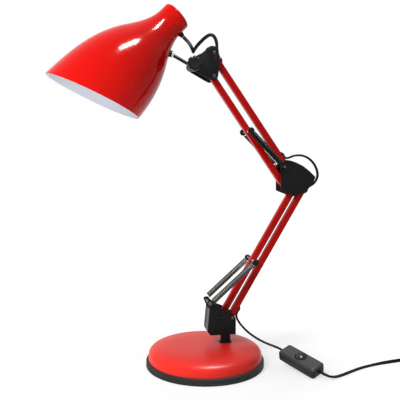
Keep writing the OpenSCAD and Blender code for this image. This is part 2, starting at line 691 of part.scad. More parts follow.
// From the shade's own frame to the stem's line
module at_stem() {
    rotate([0, -shade_turn, 0]) translate([tilt_axis[0] - cap_at[0], 0, tilt_axis[1] - cap_at[1]])
        rotate([0, -stem_lean, 0]) children();
}
// Shaped washers that fit the wall's curve, one outside and one inside
module stem_saddles() color(black) in_shade() {
    difference() {
        at_stem() translate([0, 0, stem_len - saddle_h]) cylinder(d = 10, h = saddle_h + 3);
        shade_solid(slip);
        at_stem() cylinder(d = stem_d + 2 * run, h = stem_len + 12);
    }
    difference() {
        intersection() {
            at_stem() translate([0, 0, stem_len - 3]) cylinder(d = 10, h = inner_seat + 3);
            shade_solid(-shade_t - slip);
        }
        at_stem() cylinder(d = stem_d + 2 * run, h = stem_len + 12);
    }
}
module cord_gland() color(black) in_shade() difference() {
    union() {
        translate([0, 0, gland_s]) rotate([0, -90, 0]) cylinder(d = gland_neck_d, h = neck_r + gland_out);
        difference() {
            translate([0, 0, gland_s]) rotate([0, -90, 0]) cylinder(d = gland_d, h = neck_r + gland_out);
            shade_solid(slip);
        }
    }
    translate([0, 0, gland_s]) rotate([0, -90, 0]) cylinder(d = 12, h = holder_r + 0.6);
}

// ---- Lamp holder and bulb ----
stud_d = 10;
stud_l = 6;
holder_s = shade_t + slip + stud_l;
holder_r = 18.4;
holder_l = 40;
holder_wall = 2.4;
thread_r = 14.4;
thread_t = 0.8;
contact_s = holder_s + holder_wall + 3;
cap_r = thread_r - thread_t - 0.3;
cap_l = 24;
glass_t = 1;
module holder_stud() color(steel) in_shade() translate([0, 0, shade_t + slip / 2])
    cylinder(d = stud_d, h = stud_l);
module lamp_holder() color("#e8e4d8") in_shade() translate([0, 0, holder_s]) difference() {
    rotate_extrude() polygon(rounded([
        [0, 0], [holder_r, 0], [holder_r, holder_l - 8], [holder_r - 1.6, holder_l], [0, holder_l]],
        [0.01, 4, 1, 1, 0.01]));
    translate([0, 0, holder_wall]) cylinder(r = thread_r + slip, h = holder_l);
}
module holder_thread() color("#c8a040") in_shade() {
    translate([0, 0, holder_s + holder_wall + slip]) difference() {
        cylinder(r = thread_r, h = holder_l - holder_wall - 6);
        translate([0, 0, thread_t]) cylinder(r = thread_r - thread_t, h = holder_l);
    }
    translate([0, 0, holder_s + holder_wall + slip])
        cylinder(d = 8, h = contact_s - holder_s - holder_wall - 2 * slip);
}
module bulb_cap() color(steel) in_shade() translate([0, 0, contact_s]) difference() {
    union() {
        cylinder(d = 9, h = 3);
        translate([0, 0, 2]) cylinder(r1 = 6, r2 = cap_r, h = 4);
        translate([0, 0, 6]) cylinder(r = cap_r, h = cap_l - 6);
    }
    translate([0, 0, 7]) cylinder(r = cap_r - 0.6, h = cap_l);
}
module bulb_glass() color("#f4f4f0") in_shade() difference() {
    glass_solid(0);
    glass_solid(glass_t);
}
module glass_solid(inset) {
    ball_s = contact_s + bulb_l - bulb_d / 2;
    neck = cap_r - 0.8;
    rotate_extrude() intersection() {
        union() {
            translate([0, ball_s]) circle(r = bulb_d / 2 - inset);
            polygon([[0, contact_s + 8 + inset], [neck - inset, contact_s + 8 + inset],
                     [neck - inset, holder_s + holder_l - 2],
                     [bulb_d * 0.43 - inset, ball_s - bulb_d * 0.25],
                     [0, ball_s]]);
        }
        translate([0, contact_s]) square([bulb_d, 2 * bulb_l]);
    }
}

// ---- Cord, switch and plug ----
module head_cord() color("#161616") cord(head_route, [0, 1, 0], [15, 19, 90, 0]);
module elbow_cord() color("#161616") cord(elbow_route, [0, 1, 0]);
module mains_drop() color("#161616") cord(drop_route, [0, -1, 0]);
module mains_run() color("#161616") cord(run_route, undef, [11, 14, 0, 90]);
module plug_lead() color("#161616") cord(lead_route, [0, 0, 1]);
module in_switch() {
    translate(switch_at) rotate(switch_pose) children();
}
switch_wall = 2;
bevel = 3;
well_r = rocker_r + 1.3;
rocker_z = 1;        // height of the rocker's axle above the switch's parting line
rocker_rest = 6;     // lean of the rocker when it is off
rocker_up = 2;       // how far the rocker stands out of the top
axle_d = 3;
lug_y = rocker_r + 0.8;
lug_t = 1.4;
function box_outline(l, w, r) =
    rounded([[l / 2, w / 2], [-l / 2, w / 2], [-l / 2, -w / 2], [l / 2, -w / 2]], r);
module axle(d, l) {
    translate([0, l / 2, rocker_z]) rotate([90, 0, 0]) cylinder(d = d, h = l);
}
module switch_base() color("#414140") in_switch() {
    translate([0, 0, -switch_h / 2]) difference() {
        linear_extrude(switch_h / 2) polygon(box_outline(switch_l, switch_w, 4));
        translate([0, 0, switch_wall]) linear_extrude(switch_h)
            polygon(box_outline(switch_l - 2 * switch_wall, switch_w - 2 * switch_wall, 2.4));
    }
    difference() {
        for (s = [-1, 1])
            translate([-3, s > 0 ? lug_y : -lug_y - lug_t, switch_wall - switch_h / 2 - 0.1])
                cube([6, lug_t, switch_h / 2 - switch_wall + rocker_z + axle_d]);
        axle(axle_d + 2 * run, switch_w);
    }
}
module switch_top() color("#464645") in_switch() difference() {
    hull() {
        translate([0, 0, slip]) linear_extrude(switch_h / 2 - bevel)
            polygon(box_outline(switch_l, switch_w, 4));
        translate([0, 0, slip]) linear_extrude(switch_h / 2 - slip)
            polygon(box_outline(switch_l - 2 * bevel, switch_w - 2 * bevel, 4));
    }
    translate([0, 0, -1]) linear_extrude(switch_h / 2 - switch_wall + 1)
        polygon(box_outline(switch_l - 2 * bevel, switch_w - 2 * bevel, 2.4));
    cylinder(r = well_r, h = switch_h);
}
module switch_rocker() color("#383838") in_switch() {
    translate([0, 0, rocker_z]) rotate([0, rocker_rest, 0]) difference() {
        translate([0, 0, -2]) cylinder(r = rocker_r, h = switch_h / 2 + rocker_up - rocker_z + 2);
        translate([0, 30, switch_h / 2 + rocker_up + 12.4]) rotate([90, 0, 0])
            cylinder(r = 14.6, h = 60);
    }
    axle(axle_d, 2 * (lug_y + lug_t));
}
module cord_coil() color("#161616") translate(coil_at) rotate_extrude($fn = 64)
    translate([coil_r - coil_w / 2, 0]) square([coil_w, coil_h]);
module coil_tie() color("#303030") translate([coil_at[0], coil_at[1], 0]) rotate(150)
    translate([coil_r, 0, 0]) difference() {
        translate([-coil_w / 2 - tie_t - 0.1, -2.5, 0.1])
            cube([coil_w + 2 * tie_t + 0.2, 5, coil_at[2] + coil_h + tie_t]);
        translate([-coil_w / 2 - 0.6, -4, coil_at[2] - 0.1]) cube([coil_w + 1.2, 8, coil_h + 0.2]);
    }
pin_gap = 19;
prong_d = 4;
prong_l = 19;
module in_plug() {
    translate(plug_at) rotate(-90) children();
}
module plug_body() color("#1c1c1c") in_plug() {
    translate([0, relief_l + plug_l, 0]) rotate([90, 0, 0]) linear_extrude(plug_l)
        polygon(box_outline(plug_w, plug_h - 0.2, 5));
    translate([0, relief_l, 0]) rotate([90, 0, 0]) cylinder(d1 = 9, d2 = 6, h = relief_l);
}
module plug_pins() color(steel) in_plug() for (s = [-1, 1])
    translate([s * pin_gap / 2, relief_l + plug_l, 0]) rotate([-90, 0, 0])
        cylinder(d = prong_d, h = prong_l);

base_ring();
base_pad();
base_plate();
base_screws();
base_weight();
base_dome();
post_socket();
swivel_post();
lower_bracket();
lower_pivot_pins();
lower_spacers();
lower_spring_anchor();
lower_springs();
lower_rear_tube();
lower_cord_hoods();
lower_front_tube();
lower_cross_pin();
lower_pin_caps();
elbow_plate_near();
elbow_plate_far();
elbow_pivot_pins();
elbow_spacers();
upper_spring_anchor();
upper_springs();
upper_rear_tube();
upper_cord_hoods();
upper_front_tube();
upper_cross_pin();
upper_pin_caps();
head_plate_near();
head_plate_far();
head_pivot_pins();
head_spacers();
clamp_bolt();
clamp_knob();
stem();
stem_nuts();
shade_shell();
stem_saddles();
cord_gland();
holder_stud();
lamp_holder();
holder_thread();
bulb_cap();
bulb_glass();
head_cord();
elbow_cord();
mains_drop();
switch_base();
switch_top();
switch_rocker();
mains_run();
cord_coil();
coil_tie();
plug_lead();
plug_body();
plug_pins();
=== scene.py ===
"""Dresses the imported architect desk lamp: finishes, cords, springs, shade, base and stage.

Pieces are modelled in metres in the lamp's own frame: +Z up, the arms in the XZ plane,
the lower arm leaning to +X and the shade hanging over -X.
"""

import json
import math

import bmesh
import bpy
from bpy.props import FloatProperty, FloatVectorProperty, IntProperty, PointerProperty
from mathutils import Matrix, Vector


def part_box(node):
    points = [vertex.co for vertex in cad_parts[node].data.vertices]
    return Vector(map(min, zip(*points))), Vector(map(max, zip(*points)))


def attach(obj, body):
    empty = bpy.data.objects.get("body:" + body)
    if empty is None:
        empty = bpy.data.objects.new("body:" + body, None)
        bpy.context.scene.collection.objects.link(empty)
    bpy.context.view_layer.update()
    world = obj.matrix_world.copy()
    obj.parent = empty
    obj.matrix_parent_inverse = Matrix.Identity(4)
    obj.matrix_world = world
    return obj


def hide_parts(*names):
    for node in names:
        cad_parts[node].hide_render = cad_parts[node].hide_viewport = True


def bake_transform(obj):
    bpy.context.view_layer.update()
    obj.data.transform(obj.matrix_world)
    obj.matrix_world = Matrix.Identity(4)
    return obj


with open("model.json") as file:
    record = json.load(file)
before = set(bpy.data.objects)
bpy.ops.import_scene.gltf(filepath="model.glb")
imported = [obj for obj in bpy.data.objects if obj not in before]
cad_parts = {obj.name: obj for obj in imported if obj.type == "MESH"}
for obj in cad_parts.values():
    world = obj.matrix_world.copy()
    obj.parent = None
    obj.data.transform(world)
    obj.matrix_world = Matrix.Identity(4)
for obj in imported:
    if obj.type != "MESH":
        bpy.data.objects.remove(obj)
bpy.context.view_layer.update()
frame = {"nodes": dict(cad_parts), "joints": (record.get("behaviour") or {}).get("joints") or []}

bl_info = {
    "name": "Architect Lamp",
    "version": (1, 0, 0),
    "blender": (4, 5, 0),
    "location": "3D View > Sidebar > Lamp",
    "description": "Dresses a balanced-arm desk lamp with its finishes, cords and springs",
    "category": "Object",
}

MM = 0.001
NODES = frame["nodes"]
PIVOT = {joint["name"]: Vector(joint["pos_m"]) for joint in frame["joints"]}


# ---- Places taken from the frame ----

def middle(node):
    """Centre of a CAD node's box."""
    low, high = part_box(node)
    return (Vector(low) + Vector(high)) / 2


def corner(node, axis, high):
    """One face of a CAD node's box along an axis."""
    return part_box(node)[1 if high else 0][axis]


def in_arm_plane(lean):
    """Matrix that turns +Z to the given lean in the arm plane, towards +X."""
    return Matrix.Rotation(lean, 4, "Y")


# ---- Mesh tools ----

def circle(radius, count, squash=1.0):
    """A section: points of a circle, or of an ellipse when squashed."""
    angles = [2 * math.pi * i / count for i in range(count)]
    return [(radius * math.cos(a), radius * squash * math.sin(a)) for a in angles]


def rounded_box(length, width, radius, steps=5):
    """A section: a rectangle with round corners."""
    points = []
    for quarter, (sx, sy) in enumerate(((1, 1), (-1, 1), (-1, -1), (1, -1))):
        cx, cy = sx * (length / 2 - radius), sy * (width / 2 - radius)
        for i in range(steps + 1):
            a = math.pi / 2 * (quarter + i / steps)
            points.append((cx + radius * math.cos(a), cy + radius * math.sin(a)))
    return points


def spoked_box(length, width, radius, spokes=12):
    """A round-cornered rectangle with extra points at even angles along its sides."""
    corners = rounded_box(length, width, radius, 6)
    points = []
    for (x0, y0), (x1, y1) in zip(corners, corners[1:] + corners[:1]):
        points.append((x0, y0))
        a0, a1 = math.atan2(y0, x0), math.atan2(y1, x1)
        turn = (a1 - a0) % (2 * math.pi)
        count = max(1, round(turn / math.radians(180 / spokes)))
        for i in range(1, count):
            dx, dy = math.cos(a0 + turn * i / count), math.sin(a0 + turn * i / count)
            u = (dx * y0 - dy * x0) / (dx * (y0 - y1) - dy * (x0 - x1))
            points.append((x0 + u * (x1 - x0), y0 + u * (y1 - y0)))
    return points


def twin_section(width, thick, waist=0.8, steps=8):
    """A section: two round cores side by side, joined by a thinner web."""
    offset = (width - thick) / 2
    sweep_angle = math.radians(125)
    right = []
    for i in range(steps + 1):
        a = -sweep_angle + 2 * sweep_angle * i / steps
        right.append((offset + thick / 2 * math.cos(a), thick / 2 * math.sin(a)))
    left = [(-x, -y) for x, y in right]
    return right + [(0.0, thick / 2 * waist)] + left + [(0.0, -thick / 2 * waist)]


def loft(bm, rings):
    """Skins closed rings that have the same number of points, and caps both ends."""
    verts = [bm.verts.new(point) for point in rings[0]]
    first = edges = [bm.edges.new((verts[i - 1], verts[i])) for i in range(len(verts))]
    for ring in rings[1:]:
        made = bmesh.ops.extrude_edge_only(bm, edges=edges)["geom"]
        ends = {v for v in made if isinstance(v, bmesh.types.BMVert)}
        edges = [e for e in made if isinstance(e, bmesh.types.BMEdge)
                 and e.verts[0] in ends and e.verts[1] in ends]
        verts = [next(e.other_vert(v) for e in v.link_edges if e.other_vert(v) in ends)
                 for v in verts]
        for v, point in zip(verts, ring):
            v.co = point
    bmesh.ops.edgeloop_fill(bm, edges=first)
    return bmesh.ops.edgeloop_fill(bm, edges=edges)["faces"]


def sweep(bm, section, places):
    """Carries a closed section through a list of matrices, and caps both ends."""
    loft(bm, [[place @ Vector((x, y, 0)) for x, y in section] for place in places])


def lathe(bm, profile, place=Matrix.Identity(4), steps=96):
    """Turns a profile of (radius, height) points about the local Z axis."""
    verts = [bm.verts.new((r, 0, z)) for r, z in profile]
    edges = [bm.edges.new(pair) for pair in zip(verts, verts[1:])]
    bmesh.ops.spin(bm, geom=verts + edges, cent=(0, 0, 0), axis=(0, 0, 1),
                   angle=2 * math.pi, steps=steps, use_merge=True)
    turned = connected(verts)
    bmesh.ops.remove_doubles(bm, verts=turned, dist=1e-7)
    bmesh.ops.transform(bm, matrix=place, verts=[v for v in turned if v.is_valid])


def connected(verts):
    """All vertices joined to the given ones by edges."""
    found, queue = set(verts), list(verts)
    while queue:
        for edge in queue.pop().link_edges:
            for v in edge.verts:
                if v not in found:
                    found.add(v)
                    queue.append(v)
    return list(found)


def point_normals_out(bm):
    bmesh.ops.recalc_face_normals(bm, faces=bm.faces)


def bevel_sharp(bm, width, angle=35, segments=2):
    """Rounds every edge that is sharper than the angle."""
    limit = math.radians(angle)
    edges = [e for e in bm.edges if e.is_manifold and e.calc_face_angle(0) > limit]
    bmesh.ops.bevel(bm, geom=edges, offset=width, offset_type="OFFSET", segments=segments,
                    profile=0.5, affect="EDGES", material=-1, clamp_overlap=True)


def smooth_route(points, steps=4):
    """A Catmull-Rom curve through the points."""
    pts = [Vector(p) for p in points]
    pts = [pts[0] * 2 - pts[1]] + pts + [pts[-1] * 2 - pts[-2]]
    route = []
    for a, b, c, d in zip(pts, pts[1:], pts[2:], pts[3:]):
        for i in range(steps):
            u = i / steps
            route.append(0.5 * (2 * b + (c - a) * u + (2 * a - 5 * b + 4 * c - d) * u ** 2
                                + (3 * b - a - 3 * c + d) * u ** 3))
    return route + [pts[-2]]


def route_length(route):
    return sum((b - a).length for a, b in zip(route, route[1:]))


def places_along(route, side, twist=None):
    """Matrices along a route: local Z runs along it, local X is the wide side.

    twist is a function from 0..1 along the route to an angle about it.
    """
    places, last = [], len(route) - 1
    for i, p in enumerate(route):
        along = (route[min(i + 1, last)] - route[max(i - 1, 0)]).normalized()
        wide = Vector(side) - along * along.dot(Vector(side))
        wide.normalize()
        if twist:
            wide = Matrix.Rotation(twist(i / last), 3, along) @ wide
        thick = along.cross(wide)
        place = Matrix((wide, thick, along)).transposed().to_4x4()
        place.translation = p
        places.append(place)
    return places


def ramp(u, start, end):
    """0 before start, 1 after end, smooth between."""
    u = min(1.0, max(0.0, (u - start) / (end - start)))
    return u * u * (3 - 2 * u)


def make_piece(name, bm, finishes, body=None, replaces=(), smooth=30):
    """Turns a bmesh into a finished piece that rides on a body and stands for CAD nodes."""
    mesh = bpy.data.meshes.new(name)
    bm.to_mesh(mesh)
    bm.free()
    mesh.polygons.foreach_set("use_smooth", [True] * len(mesh.polygons))
    mesh.set_sharp_from_angle(angle=math.radians(smooth))
    piece = bpy.data.objects.new(name, mesh)
    bpy.context.scene.collection.objects.link(piece)
    for finish in finishes:
        mesh.materials.append(material(finish))
    if body:
        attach(piece, body)
    if replaces:
        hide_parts(*replaces)
    return piece


def soften(node, width, finish, body, segments=2):
    """A CAD node's own shape with its edges rounded."""
    bm = bmesh.new()
    bm.from_mesh(NODES[node].data)
    bmesh.ops.remove_doubles(bm, verts=bm.verts, dist=1e-6)
    bmesh.ops.dissolve_limit(bm, angle_limit=math.radians(0.5), verts=bm.verts, edges=bm.edges)
    bevel_sharp(bm, width, segments=segments)
    make_piece(node + "_softened", bm, [finish], body, [node])


def keep(node, finish):
    """Gives a CAD node that keeps its shape its finish."""
    for held in NODES[node].material_slots:
        held.material = material(finish)


# ---- Finishes ----

def principled(name, **sockets):
    """A material whose constants sit on the shader's own sockets."""
    mat = bpy.data.materials.new(name)
    mat.use_nodes = True
    shader = mat.node_tree.nodes["Principled BSDF"]
    for socket, value in sockets.items():
        shader.inputs[socket.replace("_", " ")].default_value = value
    return mat, shader


def texture(mat, kind, scale, stretch=(1, 1, 1), **values):
    """A texture node on Object coordinates, its scale in cycles per metre."""
    tree = mat.node_tree
    coords = tree.nodes.new("ShaderNodeTexCoord")
    mapping = tree.nodes.new("ShaderNodeMapping")
    mapping.inputs["Scale"].default_value = stretch
    node = tree.nodes.new(kind)
    node.inputs["Scale"].default_value = scale
    for socket, value in values.items():
        node.inputs[socket].default_value = value
    tree.links.new(coords.outputs["Object"], mapping.inputs["Vector"])
    tree.links.new(mapping.outputs["Vector"], node.inputs["Vector"])
    return node


def roughen(mat, shader, source, strength, distance):
    """Bump from a texture's height."""
    tree = mat.node_tree
    bump = tree.nodes.new("ShaderNodeBump")
    bump.inputs["Strength"].default_value = strength
    bump.inputs["Distance"].default_value = distance
    old = shader.inputs["Normal"].links
    if old:
        tree.links.new(old[0].from_socket, bump.inputs["Normal"])
    height = source.outputs.get("Fac") or source.outputs.get("Distance") or source.outputs[0]
    tree.links.new(height, bump.inputs["Height"])
    tree.links.new(bump.outputs["Normal"], shader.inputs["Normal"])


def vary(mat, shader, source, socket, low, high):
    """Drives a socket between two values by a texture."""
    tree = mat.node_tree
    spread = tree.nodes.new("ShaderNodeMapRange")
    spread.inputs["From Min"].default_value = 0.3
    spread.inputs["From Max"].default_value = 0.7
    spread.inputs["To Min"].default_value = low
    spread.inputs["To Max"].default_value = high
    height = source.outputs.get("Fac") or source.outputs.get("Distance") or source.outputs[0]
    tree.links.new(height, spread.inputs["Value"])
    tree.links.new(spread.outputs["Result"], shader.inputs[socket])


def tint(mat, shader, source, first, second):
    """Colours the surface between two tones by a texture."""
    tree = mat.node_tree
    ramp_node = tree.nodes.new("ShaderNodeValToRGB")
    ramp_node.color_ramp.elements[0].position = 0.3
    ramp_node.color_ramp.elements[1].position = 0.7
    ramp_node.color_ramp.elements[0].color = (*first, 1)
    ramp_node.color_ramp.elements[1].color = (*second, 1)
    height = source.outputs.get("Fac") or source.outputs.get("Distance") or source.outputs[0]
    tree.links.new(height, ramp_node.inputs["Fac"])
    tree.links.new(ramp_node.outputs["Color"], shader.inputs["Base Color"])


def shades(colour, spread):
    """A darker and a lighter tone of a colour."""
    return [tuple(min(1.0, c * k) for c in colour) for k in (1 - spread, 1 + spread)]


def paint(name, colour, roughness, shine, peel):
    """Stove-enamelled sheet with a faint orange peel."""
    mat, shader = principled(name, Specular_IOR_Level=shine)
    cloud = texture(mat, "ShaderNodeTexNoise", 9, Detail=2)
    tint(mat, shader, cloud, *shades(colour, 0.03))
    grain = texture(mat, "ShaderNodeTexNoise", 420, Detail=2)
    roughen(mat, shader, grain, peel, 0.0004)
    vary(mat, shader, grain, "Roughness", roughness - 0.02, roughness + 0.02)
    return mat


def moulded(name, colour, roughness, shine, grain):
    """Moulded plastic or rubber with a fine spark-eroded grain."""
    mat, shader = principled(name, Specular_IOR_Level=shine)
    pores = texture(mat, "ShaderNodeTexNoise", 1800, Detail=3)
    tint(mat, shader, pores, *shades(colour, 0.12))
    roughen(mat, shader, pores, grain, 0.0002)
    soft = texture(mat, "ShaderNodeTexNoise", 60, Detail=2)
    vary(mat, shader, soft, "Roughness", roughness - 0.04, roughness + 0.05)
    return mat


def bare_metal(name, colour, roughness, stretch=(1, 1, 12)):
    """Drawn or turned metal with fine lines."""
    mat, shader = principled(name, Metallic=1.0, Roughness=roughness)
    lines = texture(mat, "ShaderNodeTexNoise", 500, stretch, Detail=3)
    tint(mat, shader, lines, *shades(colour, 0.08))
    vary(mat, shader, lines, "Roughness", roughness - 0.06, roughness + 0.08)
    roughen(mat, shader, lines, 0.05, 0.0001)
    return mat


def iron_casting(name, colour):
    mat, shader = principled(name, Metallic=0.6, Roughness=0.7)
    sand = texture(mat, "ShaderNodeTexNoise", 700, Detail=6)
    tint(mat, shader, sand, *shades(colour, 0.3))
    roughen(mat, shader, sand, 0.5, 0.0006)
    return mat


def felt(name, colour):
    mat, shader = principled(name, Roughness=0.95, Sheen_Weight=0.4)
    fibre = texture(mat, "ShaderNodeTexNoise", 1500, (1, 0.3, 1), Detail=6)
    tint(mat, shader, fibre, *shades(colour, 0.4))
    roughen(mat, shader, fibre, 0.6, 0.0005)
    return mat


def opal(name, colour):
    """Opal glass: milky, with a glossy skin."""
    mat, shader = principled(name, Roughness=0.12, Subsurface_Weight=0.25, Coat_Weight=0.6,
                             Coat_Roughness=0.04)
    milk = texture(mat, "ShaderNodeTexNoise", 25, Detail=1)
    tint(mat, shader, milk, *shades(colour, 0.02))
    return mat


def lamp_colours():
    return bpy.context.scene.lamp_colours


FINISHES = {
    # Painted shade: the tubes' red is darker than the shade's, for the less light the thin tubes
    # catch
    "red_tube": lambda n: paint(n, lamp_colours().shaded_tube_red, 0.24, 0.1, 0.03),
    "red_shade": lambda n: paint(n, lamp_colours().shade_red, 0.13, 0.1, 0.02),
    "red_base": lambda n: paint(n, lamp_colours().base_red, 0.38, 0.2, 0.08),
    "shade_white": lambda n: paint(n, lamp_colours().inside_white, 0.35, 0.4, 0.05),
    "black_metal": lambda n: paint(n, lamp_colours().bracket_black, 0.35, 0.08, 0.04),
    "steel": lambda n: bare_metal(n, (0.55, 0.56, 0.57), 0.28),
    "dark_steel": lambda n: bare_metal(n, (0.10, 0.10, 0.10), 0.32),
    "black_steel": lambda n: bare_metal(n, (0.020, 0.020, 0.021), 0.5),
    "zinc_steel": lambda n: bare_metal(n, (0.45, 0.45, 0.46), 0.38),
    "copper_rivet": lambda n: bare_metal(n, (0.10, 0.035, 0.022), 0.45),
    "cast_iron": lambda n: iron_casting(n, (0.10, 0.10, 0.11)),
    "black_rubber": lambda n: moulded(n, (0.018, 0.020, 0.018), 0.6, 0.2, 0.25),
    "felt": lambda n: felt(n, (0.03, 0.03, 0.03)),
    "black_plastic": lambda n: moulded(n, (0.006, 0.006, 0.007), 0.38, 0.12, 0.12),
    "nylon": lambda n: moulded(n, (0.007, 0.007, 0.007), 0.5, 0.12, 0.15),
    # Painted shade: the upper springs, the same steel as the lower pair, made near black for the
    # shadow they hang in
    "dark_spring": lambda n: paint(n, (0.008, 0.008, 0.008), 0.4, 0.1, 0.02),
    "grey_spring": lambda n: bare_metal(n, (0.085, 0.088, 0.080), 0.45, (1, 1, 1)),
    "cord_pvc": lambda n: moulded(n, (0.005, 0.005, 0.006), 0.45, 0.08, 0.06),
    "switch_plastic": lambda n: moulded(n, lamp_colours().switch_grey, 0.5, 0.3, 0.3),
    # Painted shade: the switch's grey plastic made darker for its sides, which the light reaches
    # less
    "switch_shaded_side": lambda n: moulded(n, (0.020, 0.020, 0.019), 0.5, 0.2, 0.3),
    "switch_dark": lambda n: moulded(n, (0.007, 0.007, 0.007), 0.5, 0.15, 0.2),
    "mark_white": lambda n: moulded(n, (0.8, 0.8, 0.78), 0.4, 0.4, 0.05),
    "holder_white": lambda n: moulded(n, (0.80, 0.79, 0.74), 0.25, 0.5, 0.05),
    "brass": lambda n: bare_metal(n, (0.70, 0.48, 0.20), 0.3),
    "nickel": lambda n: bare_metal(n, (0.62, 0.61, 0.59), 0.18),
    "opal_glass": lambda n: opal(n, (0.93, 0.93, 0.90)),
}


def material(finish):
    """The one material of a finish, made when it is first asked for."""
    name = "lamp_" + finish
    return bpy.data.materials.get(name) or FINISHES[finish](name)


# ---- Sizes and colours a user can change ----

class LampColours(bpy.types.PropertyGroup):
    shade_red: FloatVectorProperty(
        name="Shade", description="Enamel of the shade", subtype="COLOR",
        default=(0.80, 0.004, 0.001), min=0, max=1)
    # Painted shade: darker than the shade's red, standing in for the dimmer light on the tubes
    shaded_tube_red: FloatVectorProperty(
        name="Tubes", description="Enamel of the arm tubes", subtype="COLOR",
        default=(0.45, 0.003, 0.001), min=0, max=1)
    base_red: FloatVectorProperty(
        name="Base", description="Satin paint of the base", subtype="COLOR",
        default=(0.90, 0.030, 0.020), min=0, max=1)
    inside_white: FloatVectorProperty(
        name="Inside", description="Reflector paint inside the shade", subtype="COLOR",
        default=(0.86, 0.90, 0.97), min=0, max=1)
    bracket_black: FloatVectorProperty(
        name="Brackets", description="Paint of the brackets", subtype="COLOR",
        default=(0.008, 0.008, 0.009), min=0, max=1)
    switch_grey: FloatVectorProperty(
        name="Switch", description="Plastic of the switch", subtype="COLOR",
        default=(0.042, 0.042, 0.040), min=0, max=1)


class LampSizes(bpy.types.PropertyGroup):
    cord_width: FloatProperty(
        name="Cord width", description="Width of the flat twin cord", unit="LENGTH",
        default=5.2 * MM)
    cord_thick: FloatProperty(
        name="Cord thickness", description="Thickness of the flat twin cord", unit="LENGTH",
        default=3.2 * MM)
    spring_wire: FloatProperty(
        name="Spring wire", description="Thickness of the balance springs' wire",
        unit="LENGTH", default=1.3 * MM)
    sheet_bevel: FloatProperty(
        name="Sheet edge", description="Rounding on the edges of the bracket plates",
        unit="LENGTH", default=0.35 * MM)
    knob_lobes: IntProperty(
        name="Knob lobes", description="Lobes around the clamp knob", default=8, min=5, max=12)
    rim_roll: FloatProperty(
        name="Rim roll", description="Rounding on the rim of the shade", unit="LENGTH",
        default=0.4 * MM)


# ---- Camera and stage ----

CAMERA_AT = Vector((-157.9, -825.6, 305.5)) * MM
CAMERA_LOOK = Vector((0.1785, 0.9820, -0.0628))
CAMERA_LENS = 50.2


def add_light(name, at, towards, size, power, mirrored=False):
    """A soft box that lights the lamp, or one that is only mirrored in it."""
    light = bpy.data.lights.new(name, "AREA")
    light.shape = "RECTANGLE"
    light.size, light.size_y = size
    light.energy = power
    lamp = bpy.data.objects.new(name, light)
    lamp.location = at
    lamp.rotation_euler = (Vector(towards) - Vector(at)).to_track_quat("-Z", "Y").to_euler()
    lamp.visible_glossy = mirrored
    lamp.visible_diffuse = not mirrored
    bpy.context.scene.collection.objects.link(lamp)


def seen_rays(tree):
    """1 for rays from the camera, and for those that metal and glass mirror or let through."""
    path = tree.nodes.new("ShaderNodeLightPath")
    seen = path.outputs["Is Camera Ray"]
    for ray in ("Is Glossy Ray", "Is Transmission Ray"):
        either = tree.nodes.new("ShaderNodeMath")
        either.operation = "MAXIMUM"
        tree.links.new(seen, either.inputs[0])
        tree.links.new(path.outputs[ray], either.inputs[1])
        seen = either.outputs[0]
    return seen


class LAMP_OT_camera(bpy.types.Operator):
    """Adds the camera in front of the lamp, a little to its left"""
    bl_idname = "lamp.camera"
    bl_label = "Camera"

    def execute(self, context):
        data = bpy.data.cameras.new("camera")
        data.lens = CAMERA_LENS
        data.sensor_width = 36
        camera = bpy.data.objects.new("camera", data)
        camera.location = CAMERA_AT
        camera.rotation_euler = CAMERA_LOOK.to_track_quat("-Z", "Y").to_euler()
        context.scene.collection.objects.link(camera)
        context.scene.camera = camera
        return {"FINISHED"}


